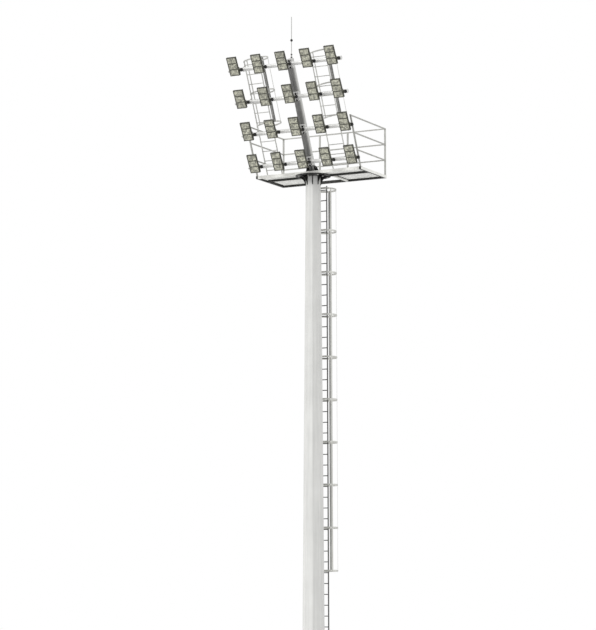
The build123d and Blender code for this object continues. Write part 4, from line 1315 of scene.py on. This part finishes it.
class TOWER_OT_pole_ladder(Operator):
    """Finishes of the pole ladder and its cage, with their bolts"""

    bl_idname = "tower.pole_ladder"
    bl_label = "Pole ladder and cage"

    def execute(self, context):
        dress(["pole_ladder"], finish_named("pole ladder steel"))
        dress(["ladder_standoffs", "cage_hoops"], finish_named("ladder steel"))
        dress_straps("cage_straps", (0,), POLE_HOOP_RADIUS)
        middle = hoop_middle(POLE_LADDER_BACK, POLE_HOOP_RADIUS, POLE_LADDER_HALF)
        plates = rear_plates("cage_straps", BACK_SIDE, (0,), middle, POLE_HOOP_RADIUS)
        # The rear plates take the same darker steel, painted shade
        add_fitting("cage_rear_plates", plates, "weathered steel")
        bolt = hex_bolt(context.scene.tower_sizes.small_bolt_width, height=0.010)
        self.cage_fixings(bolt, middle)
        self.standoff_feet(bolt)
        return {"FINISHED"}

    def cage_fixings(self, bolt, middle):
        """Bolts that hold the hoops to the stringers, and rivets through the hoops and the straps."""
        rivet = lathed([(0.0, 0.0), (0.011, 0.0), (0.010, 0.004), (0.006, 0.007), (0.0, 0.008)], sides=10)
        inside = POLE_HOOP_RADIUS - HOOP_THICKNESS - STRAP_THICKNESS
        bolts, rivets = [], []
        for level in CAGE_HOOP_LEVELS:
            for angle in (-45, 225):
                bolts.append(BACK_SIDE @ around_hoop(0, middle, level, POLE_HOOP_RADIUS, angle))
            for angle in (-30, 30, 90, 150, 210):
                rivets.append(BACK_SIDE @ around_hoop(0, middle, level, POLE_HOOP_RADIUS, angle))
                rivets.append(BACK_SIDE @ around_hoop(0, middle, level, inside, angle, inwards=True))
        add_fitting("cage_hoop_bolts", copies(bolt, bolts), "plated fasteners")
        add_fitting("cage_rivets", copies(rivet, rivets), "plated fasteners")

    def standoff_feet(self, bolt):
        """Foot plates of the ladder's brackets against the pole, each with two bolts."""
        half_width, half_height, foot_thickness, beside, bolt_rise = 0.016, 0.050, 0.006, 0.062, 0.037
        foot = rounded_plate(half_width, half_height, corner=0.004, thickness=foot_thickness, edge=0.001)
        feet = [(x, 0, level) for level in CAGE_HOOP_LEVELS for x in (-beside, beside)]
        bolts = [(x, foot_thickness, level + rise) for x, _, level in feet for rise in (-bolt_rise, bolt_rise)]
        feet, bolts = (BACK_SIDE @ at_points(places, REARWARD) for places in (feet, bolts))
        add_fitting("standoff_feet", copies(foot, feet), "ladder steel")
        add_fitting("standoff_bolts", copies(bolt, bolts), "plated fasteners")


class TOWER_OT_rack_ladders(Operator):
    """Finishes of the two rack ladders and their cages, with U bolts at the arms and rivets in the hoops"""

    bl_idname = "tower.rack_ladders"
    bl_label = "Rack ladders and cages"

    def execute(self, context):
        dress(["rack_ladder_left", "rack_ladder_right", "rack_hoops"], finish_named("ladder steel"))
        dress_straps("rack_straps", RACK_LADDER_MIDDLES, RACK_HOOP_RADIUS)
        self.u_bolts(context.scene.tower_sizes)
        middle = hoop_middle(RACK_LADDER_BACK, RACK_HOOP_RADIUS, RACK_LADDER_HALF)
        rivet = lathed([(0.0, 0.0), (0.010, 0.0), (0.009, 0.004), (0.005, 0.006), (0.0, 0.007)], sides=10)
        rivets = [RACK @ around_hoop(x, middle, rack_height_of(row) + RACK_HOOP_RISE, RACK_HOOP_RADIUS, angle)
                  for row in ROWS[1:] for x in RACK_LADDER_MIDDLES for angle in (-45, 15, 90, 165, 225)]
        add_fitting("rack_cage_rivets", copies(rivet, rivets), "plated fasteners")
        plates = rear_plates("rack_straps", RACK, RACK_LADDER_MIDDLES, middle, RACK_HOOP_RADIUS)
        # The rear plates take the same darker steel, painted shade
        add_fitting("rack_rear_plates", plates, "weathered steel")
        return {"FINISHED"}

    def u_bolts(self, sizes):
        """U bolts round the arms beside the stringers, each with a clamp bar and nuts behind: on the bend a
        point at angle t is (0, -r cos t, r sin t)."""
        bolt_radius, leg, nut_from_end, clearance, from_stringer = 0.005, 0.102, 0.014, 0.001, 0.013
        reach = ARM_RADIUS + bolt_radius + clearance
        beside = RACK_LADDER_HALF + from_stringer
        bend = np.linspace(math.pi / 2, -math.pi / 2, 13)
        path = [(0, leg, reach)]
        path += [(0, -reach * math.cos(t), reach * math.sin(t)) for t in bend]
        path += [(0, leg, -reach)]
        u_bolt = carried(circle(bolt_radius, sides=8), path, LEFT)
        half_width, half_height, bar_thickness = 0.013, 0.082, 0.008
        bar = rounded_plate(half_width, half_height, corner=0.004, thickness=bar_thickness, edge=0.001)
        bar = moved(bar, standing((0, leg - nut_from_end - bar_thickness, 0), REARWARD))
        nut_places = at_points([(0, leg - nut_from_end, z) for z in (-reach, reach)], REARWARD)
        nuts = copies(stud_nut(sizes.clamp_nut_width, height=0.009), nut_places)
        places = RACK @ at_points([(middle + side * beside, -ARM_FORWARD, rack_height_of(row))
                                   for row in ROWS for middle in RACK_LADDER_MIDDLES for side in (-1, 1)])
        u_bolts = copies(joined([u_bolt, nuts]), places)
        add_fitting("rack_ladder_u_bolts", u_bolts, "plated fasteners")
        add_fitting("rack_ladder_clamp_bars", copies(bar, places), "ladder steel")


class TOWER_OT_rod(Operator):
    """Finish of the lightning rod, with its ball and the clamping rings on its sleeve"""

    bl_idname = "tower.rod"
    bl_label = "Lightning rod"

    def execute(self, context):
        dress(["lightning_rod"], finish_named("rod steel"))
        low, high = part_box("lightning_rod")
        x, y = (low.x + high.x) / 2, (low.y + high.y) / 2
        ball_drop, ball_skin, ring_drops = 0.671, 0.0008, (1.087, 1.175)
        radius = (high.x - low.x) / 2 + ball_skin
        t = np.linspace(-math.pi / 2, math.pi / 2, 17)[1:-1]
        profile = [(0.0, -radius), *((radius * math.cos(a), radius * math.sin(a)) for a in t), (0.0, radius)]
        ball = moved(lathed(profile, sides=32), turned(0, (x, y, high.z - ball_drop)))
        add_fitting("rod_ball", ball, "knob polymer")
        ring = lathed([(0.0, 0.0), (0.024, 0.0), (0.026, 0.004), (0.026, 0.022), (0.024, 0.026), (0.0, 0.026)],
                      sides=20)
        rings = copies(ring, at_points([(x, y, high.z - drop) for drop in ring_drops]))
        add_fitting("rod_clamp_rings", rings, "dark weld")
        return {"FINISHED"}


def bearing(heading, rise):
    """The direction at a heading round the tower and an angle above the ground, both in radians: (sin h cos r,
    -cos h cos r, sin r)."""
    return Vector((math.sin(heading) * math.cos(rise), -math.cos(heading) * math.cos(rise), math.sin(rise)))


def aimed(place, direction, axis):
    """The matrix that puts a camera or a lamp at a place with one of its axes along a direction."""
    return Matrix.Translation(place) @ direction.to_track_quat(axis, "Y").to_matrix().to_4x4()


class TOWER_OT_studio(Operator):
    """Pale floor, white surroundings, soft lamps and the camera at the picture's angle"""

    bl_idname = "tower.studio"
    bl_label = "Studio"

    def execute(self, context):
        studio = context.scene.tower_studio
        context.scene.view_settings.view_transform = "Standard"
        self.camera(context, studio)
        self.world(context, studio)
        self.lamps(context, studio)
        self.floor(studio)
        return {"FINISHED"}

    def camera(self, context, studio):
        """Stands at the distance and azimuth about the pole and looks a little up."""
        data = bpy.data.cameras.new("studio_camera")
        data.lens = studio.lens_length
        data.sensor_width = 36.0
        data.sensor_fit = "AUTO"
        data.clip_end = 1000.0
        camera = bpy.data.objects.new("studio_camera", data)
        place = bearing(studio.camera_azimuth, 0.0) * studio.camera_distance
        place.z = studio.camera_height
        look = -bearing(studio.camera_azimuth + studio.camera_turn, -studio.camera_tilt)
        camera.matrix_world = aimed(place, look, "-Z")
        context.scene.collection.objects.link(camera)
        context.scene.camera = camera

    def world(self, context, studio):
        """White where the camera sees it, straight or through glass, and a plain soft sky for light and
        reflections."""
        world = bpy.data.worlds.new("studio_world")
        world.use_nodes = True
        nodes, links = world.node_tree.nodes, world.node_tree.links
        nodes.clear()
        rays = nodes.new("ShaderNodeLightPath")
        seen = nodes.new("ShaderNodeMath")
        seen.operation = "MAXIMUM"
        links.new(rays.outputs["Is Camera Ray"], seen.inputs[0])
        links.new(rays.outputs["Is Transmission Ray"], seen.inputs[1])
        mix = nodes.new("ShaderNodeMixShader")
        links.new(seen.outputs["Value"], mix.inputs["Fac"])
        for socket, strength in ((mix.inputs[1], studio.sky_strength), (mix.inputs[2], 1.0)):
            white = nodes.new("ShaderNodeBackground")
            white.inputs["Color"].default_value = (1, 1, 1, 1)
            white.inputs["Strength"].default_value = strength
            links.new(white.outputs["Background"], socket)
        output = nodes.new("ShaderNodeOutputWorld")
        links.new(mix.outputs["Shader"], output.inputs["Surface"])
        context.scene.world = world

    def lamps(self, context, studio):
        """A soft key from the front left, high up, and a weaker fill from the right."""
        distance = 30
        for name, strength, heading, height, spread in (
            ("key_light", studio.key_strength, math.radians(-35), math.radians(38), 0.5),
            ("fill_light", studio.fill_strength, math.radians(95), math.radians(15), 0.9),
        ):
            data = bpy.data.lights.new(name, "SUN")
            data.energy = strength
            data.angle = spread
            lamp = bpy.data.objects.new(name, data)
            towards = bearing(heading, height)
            lamp.matrix_world = aimed(towards * distance, towards, "Z")
            context.scene.collection.objects.link(lamp)

    def floor(self, studio):
        """A pale round floor just under the base flange, very faintly mottled."""
        radius, thickness = studio.floor_radius, 0.02
        profile = [(0.0, -thickness), (radius, -thickness), (radius, 0.0), (0.66 * radius, 0.0),
                   (0.33 * radius, 0.0), (0.0, 0.0)]
        finish = Finish("pale_floor")
        darker, paler = (linear((grey, grey, grey)) for grey in (0.915, 0.93))
        tone = finish.ramp(finish.noise(0.6, detail=3.0), (0.3, darker), (0.7, paler))
        material = finish.done(Base_Color=tone, Roughness=0.6)
        mesh_object("pale_floor", lathed(profile, sides=96), material, smooth=False)


class TOWER_PT_panel(Panel):
    """The tower's pieces and settings in the sidebar"""

    bl_idname = "TOWER_PT_panel"
    bl_label = "Floodlight tower"
    bl_space_type = "VIEW_3D"
    bl_region_type = "UI"
    bl_category = "Tower"

    def draw(self, context):
        column = self.layout.column()
        for operator in PIECES:
            column.operator(operator.bl_idname)
        for group in (context.scene.tower_colours, context.scene.tower_sizes, context.scene.tower_studio):
            box = self.layout.box()
            for name in group.__annotations__:
                box.prop(group, name)


PIECES = (
    TOWER_OT_steelwork,
    TOWER_OT_cover_screws,
    TOWER_OT_floor,
    TOWER_OT_rails,
    TOWER_OT_spine,
    TOWER_OT_arms,
    TOWER_OT_lamps,
    TOWER_OT_pole_ladder,
    TOWER_OT_rack_ladders,
    TOWER_OT_rod,
    TOWER_OT_studio,
)
GROUPS = (("tower_colours", TowerColours), ("tower_sizes", TowerSizes), ("tower_studio", TowerStudio))


def register():
    """Makes the settings, the operators and the panel known."""
    for name, group in GROUPS:
        bpy.utils.register_class(group)
        setattr(bpy.types.Scene, name, PointerProperty(type=group))
    for entry in (*PIECES, TOWER_PT_panel):
        bpy.utils.register_class(entry)


def unregister():
    """Takes them away again."""
    for entry in (TOWER_PT_panel, *reversed(PIECES)):
        bpy.utils.unregister_class(entry)
    for name, group in GROUPS:
        delattr(bpy.types.Scene, name)
        bpy.utils.unregister_class(group)


def main():
    """Registers the tower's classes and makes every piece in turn."""
    register()
    for operator in PIECES:
        group, name = operator.bl_idname.split(".")
        getattr(getattr(bpy.ops, group), name)()


if __name__ == "__main__":
    main()
